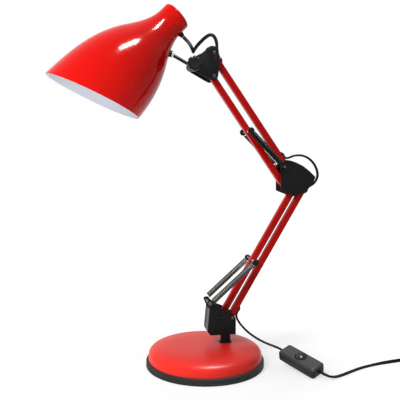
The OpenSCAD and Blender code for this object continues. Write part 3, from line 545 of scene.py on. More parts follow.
class LAMP_OT_stage(bpy.types.Operator):
    """Adds the pale floor, the soft studio lights and the background"""
    bl_idname = "lamp.stage"
    bl_label = "Stage"

    def execute(self, context):
        scene = context.scene
        scene.view_settings.view_transform = "Standard"
        bm = bmesh.new()
        bmesh.ops.create_grid(bm, x_segments=1, y_segments=1, size=6)
        mesh = bpy.data.meshes.new("floor")
        bm.to_mesh(mesh)
        bm.free()
        floor = bpy.data.objects.new("floor", mesh)
        scene.collection.objects.link(floor)
        mesh.materials.append(self.floor_paper())
        self.world(scene)
        add_light("key", (-1.1, -1.0, 1.4), (-0.05, 0, 0.3), (0.5, 0.5), 19)
        add_light("front", (-0.3, -1.5, 0.5), (0, 0, 0.25), (0.8, 0.8), 3)
        add_light("top", (-0.1, 0.4, 1.7), (0, 0, 0.2), (0.7, 0.7), 5)
        add_light("inside", (-0.5, -0.25, 0.08), (-0.12, 0, 0.45), (0.15, 0.15), 1.6)
        add_light("softbox", (0.18, -0.62, 1.55), (-0.1, -0.04, 0.45), (0.5, 0.22), 70, True)
        return {"FINISHED"}

    def floor_paper(self):
        """Matt white paper that keeps the lamp's shadow and is plain white further off"""
        mat = bpy.data.materials.new("stage_paper")
        mat.use_nodes = True
        tree = mat.node_tree
        shader = tree.nodes["Principled BSDF"]
        shader.inputs["Base Color"].default_value = (0.5, 0.5, 0.5, 1)
        shader.inputs["Roughness"].default_value = 1.0
        shader.inputs["Specular IOR Level"].default_value = 0.0
        glow = tree.nodes.new("ShaderNodeEmission")
        coords = tree.nodes.new("ShaderNodeTexCoord")
        reach = tree.nodes.new("ShaderNodeVectorMath")
        reach.operation = "LENGTH"
        spread = tree.nodes.new("ShaderNodeMapRange")
        spread.inputs["From Min"].default_value = 0.15
        spread.inputs["From Max"].default_value = 0.5
        spread.inputs["To Min"].default_value = 0.62
        spread.inputs["To Max"].default_value = 1.0
        amount = tree.nodes.new("ShaderNodeMath")
        amount.operation = "MULTIPLY"
        add = tree.nodes.new("ShaderNodeAddShader")
        tree.links.new(coords.outputs["Object"], reach.inputs[0])
        tree.links.new(reach.outputs["Value"], spread.inputs["Value"])
        tree.links.new(spread.outputs["Result"], amount.inputs[0])
        tree.links.new(seen_rays(tree), amount.inputs[1])
        tree.links.new(amount.outputs[0], glow.inputs["Strength"])
        tree.links.new(shader.outputs[0], add.inputs[0])
        tree.links.new(glow.outputs[0], add.inputs[1])
        tree.links.new(add.outputs[0], tree.nodes["Material Output"].inputs["Surface"])
        return mat

    def world(self, scene):
        """An even dim light, which rays that see the background find plain white"""
        world = bpy.data.worlds.new("studio")
        world.use_nodes = True
        tree = world.node_tree
        ambient = tree.nodes["Background"]
        ambient.inputs["Color"].default_value = (1, 1, 1, 1)
        ambient.inputs["Strength"].default_value = 0.2
        plain = tree.nodes.new("ShaderNodeBackground")
        plain.inputs["Color"].default_value = (1, 1, 1, 1)
        mix = tree.nodes.new("ShaderNodeMixShader")
        tree.links.new(seen_rays(tree), mix.inputs["Fac"])
        tree.links.new(ambient.outputs[0], mix.inputs[1])
        tree.links.new(plain.outputs[0], mix.inputs[2])
        tree.links.new(mix.outputs[0], tree.nodes["World Output"].inputs["Surface"])
        scene.world = world


# ---- Cords ----

SWITCH_AT = Vector((133.3, -57.5, 16.55)) * MM
SWITCH_ROLL, SWITCH_TILT, SWITCH_TURN = (math.radians(a) for a in (16, 10, -61))
SWITCH_L, SWITCH_W, SWITCH_H = 68 * MM, 26 * MM, 16 * MM
ROCKER_REST = math.radians(6)


def switch_place():
    return (Matrix.Translation(SWITCH_AT) @ Matrix.Rotation(SWITCH_TURN, 4, "Z")
            @ Matrix.Rotation(SWITCH_TILT, 4, "Y") @ Matrix.Rotation(SWITCH_ROLL, 4, "X"))


def switch_end(side, clear):
    """Point on the switch's long axis, clear of one of its end faces."""
    return switch_place() @ Vector((side * (SWITCH_L / 2 + clear), 0, 0))


HEAD_ROUTE = [Vector(p) * MM for p in (
    (-32.9, 0, 493.6), (-29.6, -0.4, 490.3), (-26.2, -1.8, 486.4), (-23.2, -3.8, 481.8),
    (-21.2, -5.2, 477.2), (-19.4, -4.6, 474), (-18.4, -1.6, 472.6), (-17.8, 1.8, 472.8),
    (-16.6, 4.6, 474.8), (-14.4, 5.4, 478.4), (-10.8, 4.8, 483.2), (-6, 3.6, 488.4),
    (0.5, 1.8, 494.4), (6.6, 0.5, 498), (11.4, 0, 497.6), (15, 0, 493.6),
    (17.2, 0, 487), (18, 0, 479.5), (19.2, 0, 472), (20.8, 0, 466.7), (22.3, 0, 464.5))]
ELBOW_ROUTE = [Vector(p) * MM for p in (
    (122.9, 0, 319.9), (124.6, 0, 317.4), (127.8, 0, 316), (132.4, 0, 316.9),
    (139.4, 0, 319.4), (148.2, 0, 320.4), (156, 0, 319.2), (164.4, 0, 315.2),
    (172, 0, 308), (177.2, 0, 298.5), (178.8, 0, 289.8), (176.8, 0, 282.2),
    (171.8, 0, 276), (166.2, 0, 272.6), (163.2, 0, 270.2), (161.3, 0, 266.9))]
DROP_ROUTE = [Vector(p) * MM for p in (
    (51.9, 0, 81.1), (50.3, 0, 78.4), (49.2, 0, 74.4), (49.8, 0, 70), (53, -0.3, 63.5),
    (58.5, -1, 56), (66, -2.2, 48.2), (75, -4, 41), (84.5, -6.8, 35), (94, -10.6, 30.6),
    (102.6, -15, 27.6), (109.8, -20, 25.4))] + [switch_end(-1, 5 * MM),
                                                switch_end(-1, 0.15 * MM)]
RUN_ROUTE = [switch_end(1, 0.15 * MM), switch_end(1, 5 * MM)] + [Vector(p) * MM for p in (
    (154.1, -94, 8.9), (157.2, -95.9, 7.7), (160.7, -96.8, 6.4), (166.8, -95.4, 4.4),
    (177, -89.7, 2.3), (189, -83.1, 1.7), (202, -75.9, 1.7), (216, -68.2, 1.7),
    (230.5, -61.3, 1.7), (246.5, -56, 1.9), (263, -52.2, 2.4), (288, -48.3, 3),
    (312.4, -46, 3.8))]
LEAD_ROUTE = [Vector(p) * MM for p in (
    (357.6, -46, 8.8), (361.8, -46, 8.3), (366.6, -46, 7.2), (371.8, -46, 6.9))]

COIL_AT = Vector((335, -74, 1.2)) * MM
COIL_R = 28 * MM
COIL_COLUMNS = 4
COIL_STEPS = 30      # points in a turn
COIL_START, COIL_END = 112, 68    # where the cord meets the coil and leaves it, in degrees


def coil_route(width, pitch):
    """Turns from outside in on the table, then from inside out on top of them."""
    start, end = math.radians(COIL_START), math.radians(COIL_END)
    outer = COIL_R + pitch * (COIL_COLUMNS - 1) / 2
    last = COIL_COLUMNS - 1
    whole = 2 * COIL_COLUMNS - 1 + (start - end) / (2 * math.pi)
    count = round(whole * COIL_STEPS)
    points = []
    for i in range(count + 1):
        t = whole * i / count
        turn, part = int(t), t - int(t)
        layer = ramp(t, last + 0.4, last + 0.62)
        inward = min(last, turn + ramp(part, 0.62, 0.8))
        outward = max(0, turn - COIL_COLUMNS + ramp(part, 0.2, 0.38)) if turn > last else 0
        a = start - 2 * math.pi * t
        r = outer - pitch * (inward - outward)
        points.append(COIL_AT + Vector((r * math.cos(a), r * math.sin(a),
                                        width * (0.5 + layer))))
    return points


def cord_piece(name, route, side, twist=None, replaces=(), body=None):
    """A flat twin cord along a route."""
    sizes = bpy.context.scene.lamp_sizes
    bm = bmesh.new()
    sweep(bm, twin_section(sizes.cord_width, sizes.cord_thick),
          places_along(route, side, twist))
    point_normals_out(bm)
    return make_piece(name, bm, ["cord_pvc"], body, replaces, smooth=60)


def bent_cord(name, node, route, twist=None):
    """One stretch of cord that runs across the joint between two bodies; it rides on neither."""
    piece = cord_piece(name, route, (0, 1, 0), twist, [node])
    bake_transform(piece)


class LAMP_OT_cords(bpy.types.Operator):
    """Adds the cord's loops at the head and the elbow, and its drop to the switch"""
    bl_idname = "lamp.cords"
    bl_label = "Cords on the arms"

    def execute(self, context):
        def upright(u):
            return math.radians(90)

        def turning_level(u):
            return math.radians(90) * (1 - ramp(u, 0.25, 0.85))

        parts = self.split(HEAD_ROUTE, (0.30, 0.62))
        for i, twist in enumerate((upright, upright, turning_level)):
            bent_cord(f"head_cord_{i + 1}", "head_cord", parts[i], twist)
        parts = self.split(ELBOW_ROUTE, (0.5,))
        for i, part in enumerate(parts):
            bent_cord(f"elbow_cord_{i + 1}", "elbow_cord", part)
        above, below = self.split(DROP_ROUTE, (0.34,))
        bent_cord("mains_drop_1", "mains_drop", above)
        bent_cord("mains_drop_2", "mains_drop", below)
        return {"FINISHED"}

    def split(self, points, shares):
        """Stretches of a smooth route, cut at shares of its length"""
        route = smooth_route(points)
        whole, marks, gone = route_length(route), [0], 0.0
        for i, (a, b) in enumerate(zip(route, route[1:])):
            gone += (b - a).length
            if len(marks) <= len(shares) and gone >= shares[len(marks) - 1] * whole:
                marks.append(i + 1)
        marks.append(len(route) - 1)
        return [route[a:b + 1] for a, b in zip(marks, marks[1:])]


class LAMP_OT_spare_cord(bpy.types.Operator):
    """Adds the cord on the table, its coil and its lead to the plug"""
    bl_idname = "lamp.spare_cord"
    bl_label = "Spare cord"

    def execute(self, context):
        sizes = context.scene.lamp_sizes
        run = smooth_route(RUN_ROUTE)
        coil = coil_route(sizes.cord_width, sizes.cord_thick + 0.1 * MM)
        lead = smooth_route(LEAD_ROUTE)
        route = run[:-1] + coil + lead[1:]
        stands = len(run) - 1
        places = self.level_places(route, stands - 12, stands)
        bm = bmesh.new()
        sweep(bm, twin_section(sizes.cord_width, sizes.cord_thick), places)
        point_normals_out(bm)
        piece = make_piece("mains_cord", bm, ["cord_pvc"], "base",
                           ["mains_run", "cord_coil", "plug_lead"], smooth=60)
        return {"FINISHED"}

    def level_places(self, route, flat, upright):
        """Places whose wide side is level up to one point and upright from another"""
        places, last = [], len(route) - 1
        for i, p in enumerate(route):
            along = (route[min(i + 1, last)] - route[max(i - 1, 0)]).normalized()
            wide = Vector((along.y, -along.x, 0)).normalized()
            turned = math.pi / 2 * ramp(i, flat, upright)
            wide = Matrix.Rotation(turned, 3, along) @ wide
            place = Matrix((wide, along.cross(wide), along)).transposed().to_4x4()
            place.translation = p
            places.append(place)
        return places


# ---- Shade ----

SHADE_DIP = math.radians(44.8)
NECK_R, NECK_L = 21.9 * MM, 14 * MM
WAIST_S, WAIST_R, WAIST_SLOPE = 66 * MM, 41.3 * MM, 0.6
MOUTH_S, MOUTH_R, MOUTH_SLOPE = 172.6 * MM, 69.4 * MM, 0.03
RIM_CUT = math.radians(20.2)
SHADE_T = 0.9 * MM
STEM_S = 47.6 * MM
FLARE_END = MOUTH_S + MOUTH_R * math.tan(RIM_CUT) + 8 * MM


def hermite(u, a, slope_a, b, slope_b, length):
    return ((2 * u ** 3 - 3 * u ** 2 + 1) * a + (u ** 3 - 2 * u ** 2 + u) * length * slope_a
            + (3 * u ** 2 - 2 * u ** 3) * b + (u ** 3 - u ** 2) * length * slope_b)


def shade_radius(s):
    """Outer radius of the shade at a distance from its cap."""
    if s < NECK_L:
        return NECK_R
    if s < WAIST_S:
        return hermite((s - NECK_L) / (WAIST_S - NECK_L), NECK_R, 0, WAIST_R, WAIST_SLOPE,
                       WAIST_S - NECK_L)
    u = min(1.0, (s - WAIST_S) / (FLARE_END - WAIST_S))
    return hermite(u, WAIST_R, WAIST_SLOPE, MOUTH_R, MOUTH_SLOPE, FLARE_END - WAIST_S)


def shade_place():
    """Matrix of the shade's own frame: +Z from the cap to the mouth, -X towards the arm."""
    lean = -(math.pi / 2 + SHADE_DIP)
    turn = in_arm_plane(lean)
    wall = PIVOT["shade_turn"]
    place = turn.copy()
    place.translation = wall - turn.to_3x3() @ Vector((-shade_radius(STEM_S), 0, STEM_S))
    return place


class LAMP_OT_shade(bpy.types.Operator):
    """Adds the bell shade: red outside, white inside, with a slanted mouth"""
    bl_idname = "lamp.shade"
    bl_label = "Shade"

    def execute(self, context):
        sizes = context.scene.lamp_sizes
        corner_r = 2.5 * MM
        profile = [(0.0, 0.0)]
        profile += [(NECK_R - corner_r + corner_r * math.sin(a), corner_r * (1 - math.cos(a)))
                    for a in (math.pi / 2 * i / 6 for i in range(7))]
        steps = 60
        profile += [(shade_radius(s), s) for s in
                    (corner_r + (FLARE_END - corner_r) * (i + 1) / steps for i in range(steps))]
        bm = bmesh.new()
        lathe(bm, profile, steps=128)
        geometry = bm.verts[:] + bm.edges[:] + bm.faces[:]
        slope = Vector((-math.sin(RIM_CUT), 0, math.cos(RIM_CUT)))
        bmesh.ops.bisect_plane(bm, geom=geometry, dist=1e-7, plane_co=(0, 0, MOUTH_S),
                               plane_no=slope, clear_outer=True)
        point_normals_out(bm)
        if bm.faces[0].normal.dot(bm.faces[0].calc_center_median() - Vector((0, 0, 0.1))) < 0:
            bmesh.ops.reverse_faces(bm, faces=bm.faces)
        bmesh.ops.solidify(bm, geom=bm.faces[:], thickness=SHADE_T)
        point_normals_out(bm)
        for face in bm.faces:
            face.material_index = 0 if self.is_outside(face) else 1
        rim = [e for e in bm.edges if e.is_manifold and e.calc_face_angle(0) > math.radians(50)
               and e.verts[0].co.z > 0.1]
        bmesh.ops.bevel(bm, geom=rim, offset=sizes.rim_roll, segments=2, profile=0.5,
                        affect="EDGES", material=-1)
        bmesh.ops.transform(bm, matrix=shade_place(), verts=bm.verts)
        make_piece("shade_bell", bm, ["red_shade", "shade_white"], "shade", ["shade_shell"], 40)
        return {"FINISHED"}

    def is_outside(self, face):
        """True for the outer skin and the rim"""
        middle_point = face.calc_center_median()
        radius = math.hypot(middle_point.x, middle_point.y)
        if middle_point.z < 4 * MM:
            return face.normal.z < 0 or radius > NECK_R - SHADE_T * 0.6
        return radius > shade_radius(middle_point.z) - SHADE_T * 0.75


class LAMP_OT_holder(bpy.types.Operator):
    """Finishes the lamp holder, the bulb and the pieces on the shade's neck"""
    bl_idname = "lamp.holder"
    bl_label = "Lamp holder and bulb"

    def execute(self, context):
        keep("holder_stud", "zinc_steel")
        keep("holder_thread", "brass")
        soften("lamp_holder", 0.4 * MM, "holder_white", "shade")
        self.bulb()
        soften("stem_saddles", 0.3 * MM, "nylon", "shade")
        self.gland()
        return {"FINISHED"}

    def bulb(self):
        """A golf-ball bulb with its screw cap"""
        place = shade_place()
        axis = place.to_3x3() @ Vector((0, 0, 1))
        low = min(self.along(place, axis, "bulb_glass"))
        tip = max(self.along(place, axis, "bulb_glass"))
        ball_r = 22.5 * MM
        ball = tip - ball_r
        neck_r = 12.5 * MM
        profile = [(neck_r - 1.2 * MM, low), (neck_r, low + 1 * MM), (neck_r, low + 22 * MM)]
        profile += [(ball_r * math.sin(a), ball + ball_r * math.cos(a))
                    for a in (math.radians(122) * (1 - i / 20) for i in range(21))]
        profile[-1] = (0.0, tip)
        bm = bmesh.new()
        lathe(bm, profile, place, 64)
        point_normals_out(bm)
        make_piece("bulb_ball", bm, ["opal_glass"], "shade", ["bulb_glass"], 60)
        cap_low = min(self.along(place, axis, "bulb_cap"))
        cap_high = max(self.along(place, axis, "bulb_cap"))
        cap_r = 13.3 * MM
        rings = [(0.0, cap_low), (4.5 * MM, cap_low), (4.5 * MM, cap_low + 2 * MM),
                 (cap_r - 3 * MM, cap_low + 5 * MM)]
        turns = 6
        for i in range(turns * 4 + 1):
            s = cap_low + 6 * MM + (cap_high - cap_low - 7 * MM) * i / (turns * 4)
            rings.append((cap_r - 0.6 * MM + 0.6 * MM * math.cos(math.pi * i / 2), s))
        rings.append((cap_r - 1 * MM, cap_high))
        bm = bmesh.new()
        lathe(bm, rings, place, 64)
        point_normals_out(bm)
        make_piece("bulb_screw_cap", bm, ["nickel"], "shade", ["bulb_cap"], 60)

    def along(self, place, axis, node):
        """Distances of a node's vertices from the cap along the shade's axis"""
        origin = place.translation
        return [(v.co - origin).dot(axis) for v in NODES[node].data.vertices]

    def gland(self):
        """A ribbed strain relief where the cord enters the neck"""
        place = shade_place() @ Matrix.Translation((0, 0, 16 * MM)) @ Matrix.Rotation(
            -math.pi / 2, 4, "Y")
        wall = NECK_R
        profile = [(3 * MM, wall - 3 * MM), (3 * MM, wall + 0.2 * MM), (4.2 * MM, wall + 0.2 * MM),
                   (4.2 * MM, wall + 1.6 * MM)]
        for i in range(4):
            z = wall + (1.8 + i * 0.95) * MM
            r = (3.9 - 0.28 * i) * MM
            profile += [(r - 0.5 * MM, z), (r, z + 0.2 * MM), (r, z + 0.7 * MM)]
        profile += [(2.0 * MM, wall + 5.6 * MM), (0.0, wall + 5.6 * MM)]
        bm = bmesh.new()
        lathe(bm, [(0.0, wall - 3 * MM)] + profile, place, 32)
        point_normals_out(bm)
        make_piece("ribbed_gland", bm, ["black_plastic"], "shade", ["cord_gland"], 40)


# ---- Base ----

DOME_POWER = 4


def dome_profile(radius, height, foot, count=40):
    """Points from the top of the dome to its foot."""
    points = []
    for i in range(count + 1):
        a = math.pi / 2 * i / count
        r = radius * math.sin(a) ** (2 / DOME_POWER)
        points.append((r, foot + height * max(0.0, 1 - (r / radius) ** DOME_POWER)
                       ** (1 / DOME_POWER)))
    return points


class LAMP_OT_base(bpy.types.Operator):
    """Adds the painted dome, its rubber ring, the socket and the underside"""
    bl_idname = "lamp.base"
    bl_label = "Base"

    def execute(self, context):
        self.dome()
        self.ring()
        soften("post_socket", 0.5 * MM, "black_metal", "base", 3)
        keep("base_weight", "cast_iron")
        keep("base_pad", "felt")
        keep("base_plate", "zinc_steel")
        soften("base_screws", 0.3 * MM, "zinc_steel", "base")
        return {"FINISHED"}

    def dome(self):
        radius = corner("base_dome", 0, True)
        top = corner("base_dome", 2, True)
        low = corner("base_dome", 2, False)
        foot = corner("base_ring", 2, True)
        wall = 1.2 * MM
        outer = dome_profile(radius, top - foot, foot)
        inner = dome_profile(radius - wall, top - foot - wall, foot)
        profile = outer + [(radius, low), (radius - wall, low)] + inner[::-1]
        bm = bmesh.new()
        lathe(bm, profile, steps=128)
        point_normals_out(bm)
        make_piece("painted_dome", bm, ["red_base"], "base", ["base_dome"], 50)

    def ring(self):
        out = corner("base_ring", 0, True)
        top = corner("base_ring", 2, True)
        seat = corner("base_dome", 0, True)
        inside = seat - 5 * MM
        floor = corner("base_dome", 2, False)
        groove = top * 0.32
        profile = [(inside, 0), (out - 1.4 * MM, 0), (out - 0.5 * MM, 0.3 * MM),
                   (out, 1.1 * MM), (out, groove - 0.3 * MM), (out - 0.35 * MM, groove),
                   (out - 0.35 * MM, groove + 0.3 * MM), (out, groove + 0.6 * MM),
                   (out, top - 1.7 * MM), (out - 0.4 * MM, top - 0.6 * MM),
                   (out - 1.1 * MM, top - 0.1 * MM), (out - 1.8 * MM, top),
                   (seat + 0.02 * MM, top), (seat + 0.02 * MM, floor), (inside, floor),
                   (inside, 0)]
        bm = bmesh.new()
        lathe(bm, profile, steps=128)
        point_normals_out(bm)
        make_piece("rubber_ring", bm, ["black_rubber"], "base", ["base_ring"], 40)


# ---- Brackets and arms ----

class LAMP_OT_brackets(bpy.types.Operator):
    """Rounds the edges of the bracket plates, and finishes their rivets and sleeves"""
    bl_idname = "lamp.brackets"
    bl_label = "Brackets"

    def execute(self, context):
        edge = context.scene.lamp_sizes.sheet_bevel
        soften("swivel_post", 0.5 * MM, "black_metal", "foot_bracket", 3)
        soften("lower_bracket", edge, "black_metal", "foot_bracket")
        for node in ("elbow_plate_near", "elbow_plate_far"):
            soften(node, edge, "black_metal", "elbow_bracket")
        for node in ("head_plate_near", "head_plate_far"):
            soften(node, edge, "black_metal", "head_bracket")
        self.foot_rivets()
        keep("elbow_pivot_pins", "black_metal")
        keep("head_pivot_pins", "black_steel")
        for node in ("lower_spacers", "elbow_spacers", "head_spacers"):
            keep(node, "nylon")
        soften("lower_spring_anchor", 0.3 * MM, "dark_steel", "foot_bracket")
        soften("upper_spring_anchor", 0.3 * MM, "dark_steel", "elbow_bracket")
        return {"FINISHED"}

    def foot_rivets(self):
        """Domed rivets through the foot's plates: the rear one coppered, the front one black"""
        low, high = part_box("lower_pivot_pins")
        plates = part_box("lower_bracket")
        head_h = high[1] - plates[1][1]
        head_r = (high[2] - low[2]) / 2
        for name, joint, finish in (("rear", "lower_arm_tilt", "copper_rivet"),
                                    ("front", "lower_front_follow", "black_metal")):
            bm = bmesh.new()
            for side in (-1, 1):
                place = Matrix.Translation(PIVOT[joint]) @ Matrix.Rotation(
                    -side * math.pi / 2, 4, "X")
                dome = [(head_r * math.cos(a), high[1] - head_h + head_h * math.sin(a))
                        for a in (math.pi / 2 * i / 8 for i in range(9))]
                shank = 2 * MM
                lathe(bm, [(shank, 0), (shank, high[1] - head_h), *dome], place, 32)
            point_normals_out(bm)
            make_piece(f"foot_rivet_{name}", bm, [finish], "foot_bracket",
                       ["lower_pivot_pins"], 50)


class LAMP_OT_arms(bpy.types.Operator):
    """Finishes the arm tubes, their cord hoods and their cross pins"""
    bl_idname = "lamp.arms"
    bl_label = "Arms"

    def execute(self, context):
        for level in ("lower", "upper"):
            keep(f"{level}_rear_tube", "red_tube")
            keep(f"{level}_front_tube", "red_tube")
            soften(f"{level}_cord_hoods", 0.6 * MM, "nylon", f"{level}_rear_arm", 3)
            soften(f"{level}_cross_pin", 0.3 * MM, "steel", f"{level}_front_arm")
            soften(f"{level}_pin_caps", 0.6 * MM, "black_plastic", f"{level}_front_arm", 3)
        return {"FINISHED"}


# ---- Springs ----

class LAMP_OT_springs(bpy.types.Operator):
    """Winds the four balance springs"""
    bl_idname = "lamp.springs"
    bl_label = "Balance springs"

    STEPS = 20       # faces in a turn

    def execute(self, context):
        self.pair("lower", "foot_bracket", 6.5 * MM, "grey_spring")
        # The upper pair takes the near-black copy of the spring steel: painted shade
        self.pair("upper", "elbow_bracket", 6 * MM, "dark_spring")
        return {"FINISHED"}

    def pair(self, level, bracket, hook_anchor, finish):
        wire = bpy.context.scene.lamp_sizes.spring_wire
        low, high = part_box(f"{level}_pin_caps")
        hook_pin = (high[0] - low[0]) / 2 + 0.6 * MM
        anchor = middle(f"{level}_spring_anchor")
        pin = middle(f"{level}_cross_pin")
        outside = 9.2 * MM / 2
        length = (pin - anchor).length
        line = pin - anchor
        lean = math.atan2(line.x, line.z)
        for name, y in (("near", -20.2 * MM), ("far", 20.2 * MM)):
            bm = bmesh.new()
            self.coil(bm, outside - wire / 2, wire, hook_anchor, length - hook_pin)
            self.hook(bm, outside - wire / 2, wire, hook_anchor, 1.6 * MM, False)
            self.hook(bm, outside - wire / 2, wire, hook_pin, 2.0 * MM, True, length)
            place = Matrix.Translation(anchor + Vector((0, y, 0))) @ in_arm_plane(lean)
            bmesh.ops.transform(bm, matrix=place, verts=bm.verts)
            point_normals_out(bm)
            piece = make_piece(f"{level}_spring_{name}", bm, [finish], None,
                               [f"{level}_springs"], 60)
            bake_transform(piece)

    def coil(self, bm, radius, wire, low, high):
        """Close-wound turns between two heights"""
        turns = int((high - low) / (wire * 1.12))
        rise = (high - low) / (turns * self.STEPS)
        made = bmesh.ops.create_circle(bm, cap_ends=True, segments=8, radius=wire / 2)
        start = Matrix.Translation((radius, 0, low)) @ Matrix.Rotation(math.pi / 2, 4, "X")
        bmesh.ops.transform(bm, matrix=start, verts=made["verts"])
        ring = [e for v in made["verts"] for e in v.link_edges]
        faces = list({f for e in ring for f in e.link_faces})
        bmesh.ops.spin(bm, geom=faces, cent=(0, 0, 0), axis=(0, 0, 1),
                       dvec=(0, 0, rise), angle=2 * math.pi * turns,
                       steps=turns * self.STEPS, use_merge=False)

    def hook(self, bm, radius, wire, reach, pin_r, flipped, length=0.0):
        """Wire from the last turn to the axis and round the pin"""
        eye = pin_r + wire / 2
        points = [Vector((radius, 0, reach)), Vector((radius * 0.9, 0, reach - wire)),
                  Vector((radius * 0.5, 0, reach - 1.7 * wire)),
                  Vector((0, 0, (reach + eye) / 2 - wire * 0.4))]
        for i in range(13):
            a = math.radians(90 - 330 * i / 12)
            points.append(Vector((eye * math.cos(a), 0, eye * math.sin(a))))
        route = smooth_route(points, 3)
        places = places_along(route, (0, 1, 0))
        if flipped:
            flip = Matrix.Translation((0, 0, length)) @ Matrix.Rotation(math.pi, 4, "Y")
            places = [flip @ p for p in places]
        sweep(bm, circle(wire / 2, 8), places)


# ---- Clamp and stem ----

class LAMP_OT_clamp(bpy.types.Operator):
    """Adds the lobed knob, its bolt, the stem and its nuts"""
    bl_idname = "lamp.clamp"
    bl_label = "Clamp and stem"

    def execute(self, context):
        self.knob(context.scene.lamp_sizes.knob_lobes)
        soften("clamp_bolt", 0.4 * MM, "steel", "head_bracket")
        soften("stem", 0.4 * MM, "black_metal", "stem", 3)
        soften("stem_nuts", 0.4 * MM, "nickel", "stem")
        return {"FINISHED"}

    def knob(self, lobes):
        """A moulded knob: neck, lobed grip and a dished face"""
        low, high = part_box("clamp_knob")
        grip_r = (high[0] - low[0]) / 2
        top = (high[1] - low[1])
        axis = middle("clamp_knob")
        place = Matrix.Translation((axis.x, high[1], axis.z)) @ Matrix.Rotation(
            math.pi / 2, 4, "X")
        steps = 96
        outline = []
        for i in range(steps):
            a = 2 * math.pi * i / steps
            wave = abs(math.cos(lobes * a / 2)) ** 0.7
            r = grip_r * (0.82 + 0.18 * wave)
            outline.append((r * math.cos(a), r * math.sin(a)))
        neck = 3.5 * MM
        stack = [(0, 0.55), (neck - 0.3 * MM, 0.55), (neck, 0.62), (neck + 0.2 * MM, 0.9),
                 (neck + 1.2 * MM, 0.985), (neck + 2.2 * MM, 1.0), (top - 3.0 * MM, 0.99),
                 (top - 1.4 * MM, 0.95), (top - 0.5 * MM, 0.86), (top, 0.74),
                 (top, 0.66), (top - 0.25 * MM, 0.5), (top - 0.35 * MM, 0.2)]
        places = [place @ Matrix.Translation((0, 0, z)) @ Matrix.Diagonal((k, k, 1, 1))
                  for z, k in stack]
        bm = bmesh.new()
        sweep(bm, outline, places)
        point_normals_out(bm)
        make_piece("lobed_knob", bm, ["black_plastic"], "knob", ["clamp_knob"], 50)


# ---- Switch and plug ----

def stack_places(place, layers):
    """Places for a section at each (height, scale along X, scale along Y)."""
    return [place @ Matrix.Translation((0, 0, z)) @ Matrix.Diagonal((kx, ky, 1, 1))
            for z, kx, ky in layers]


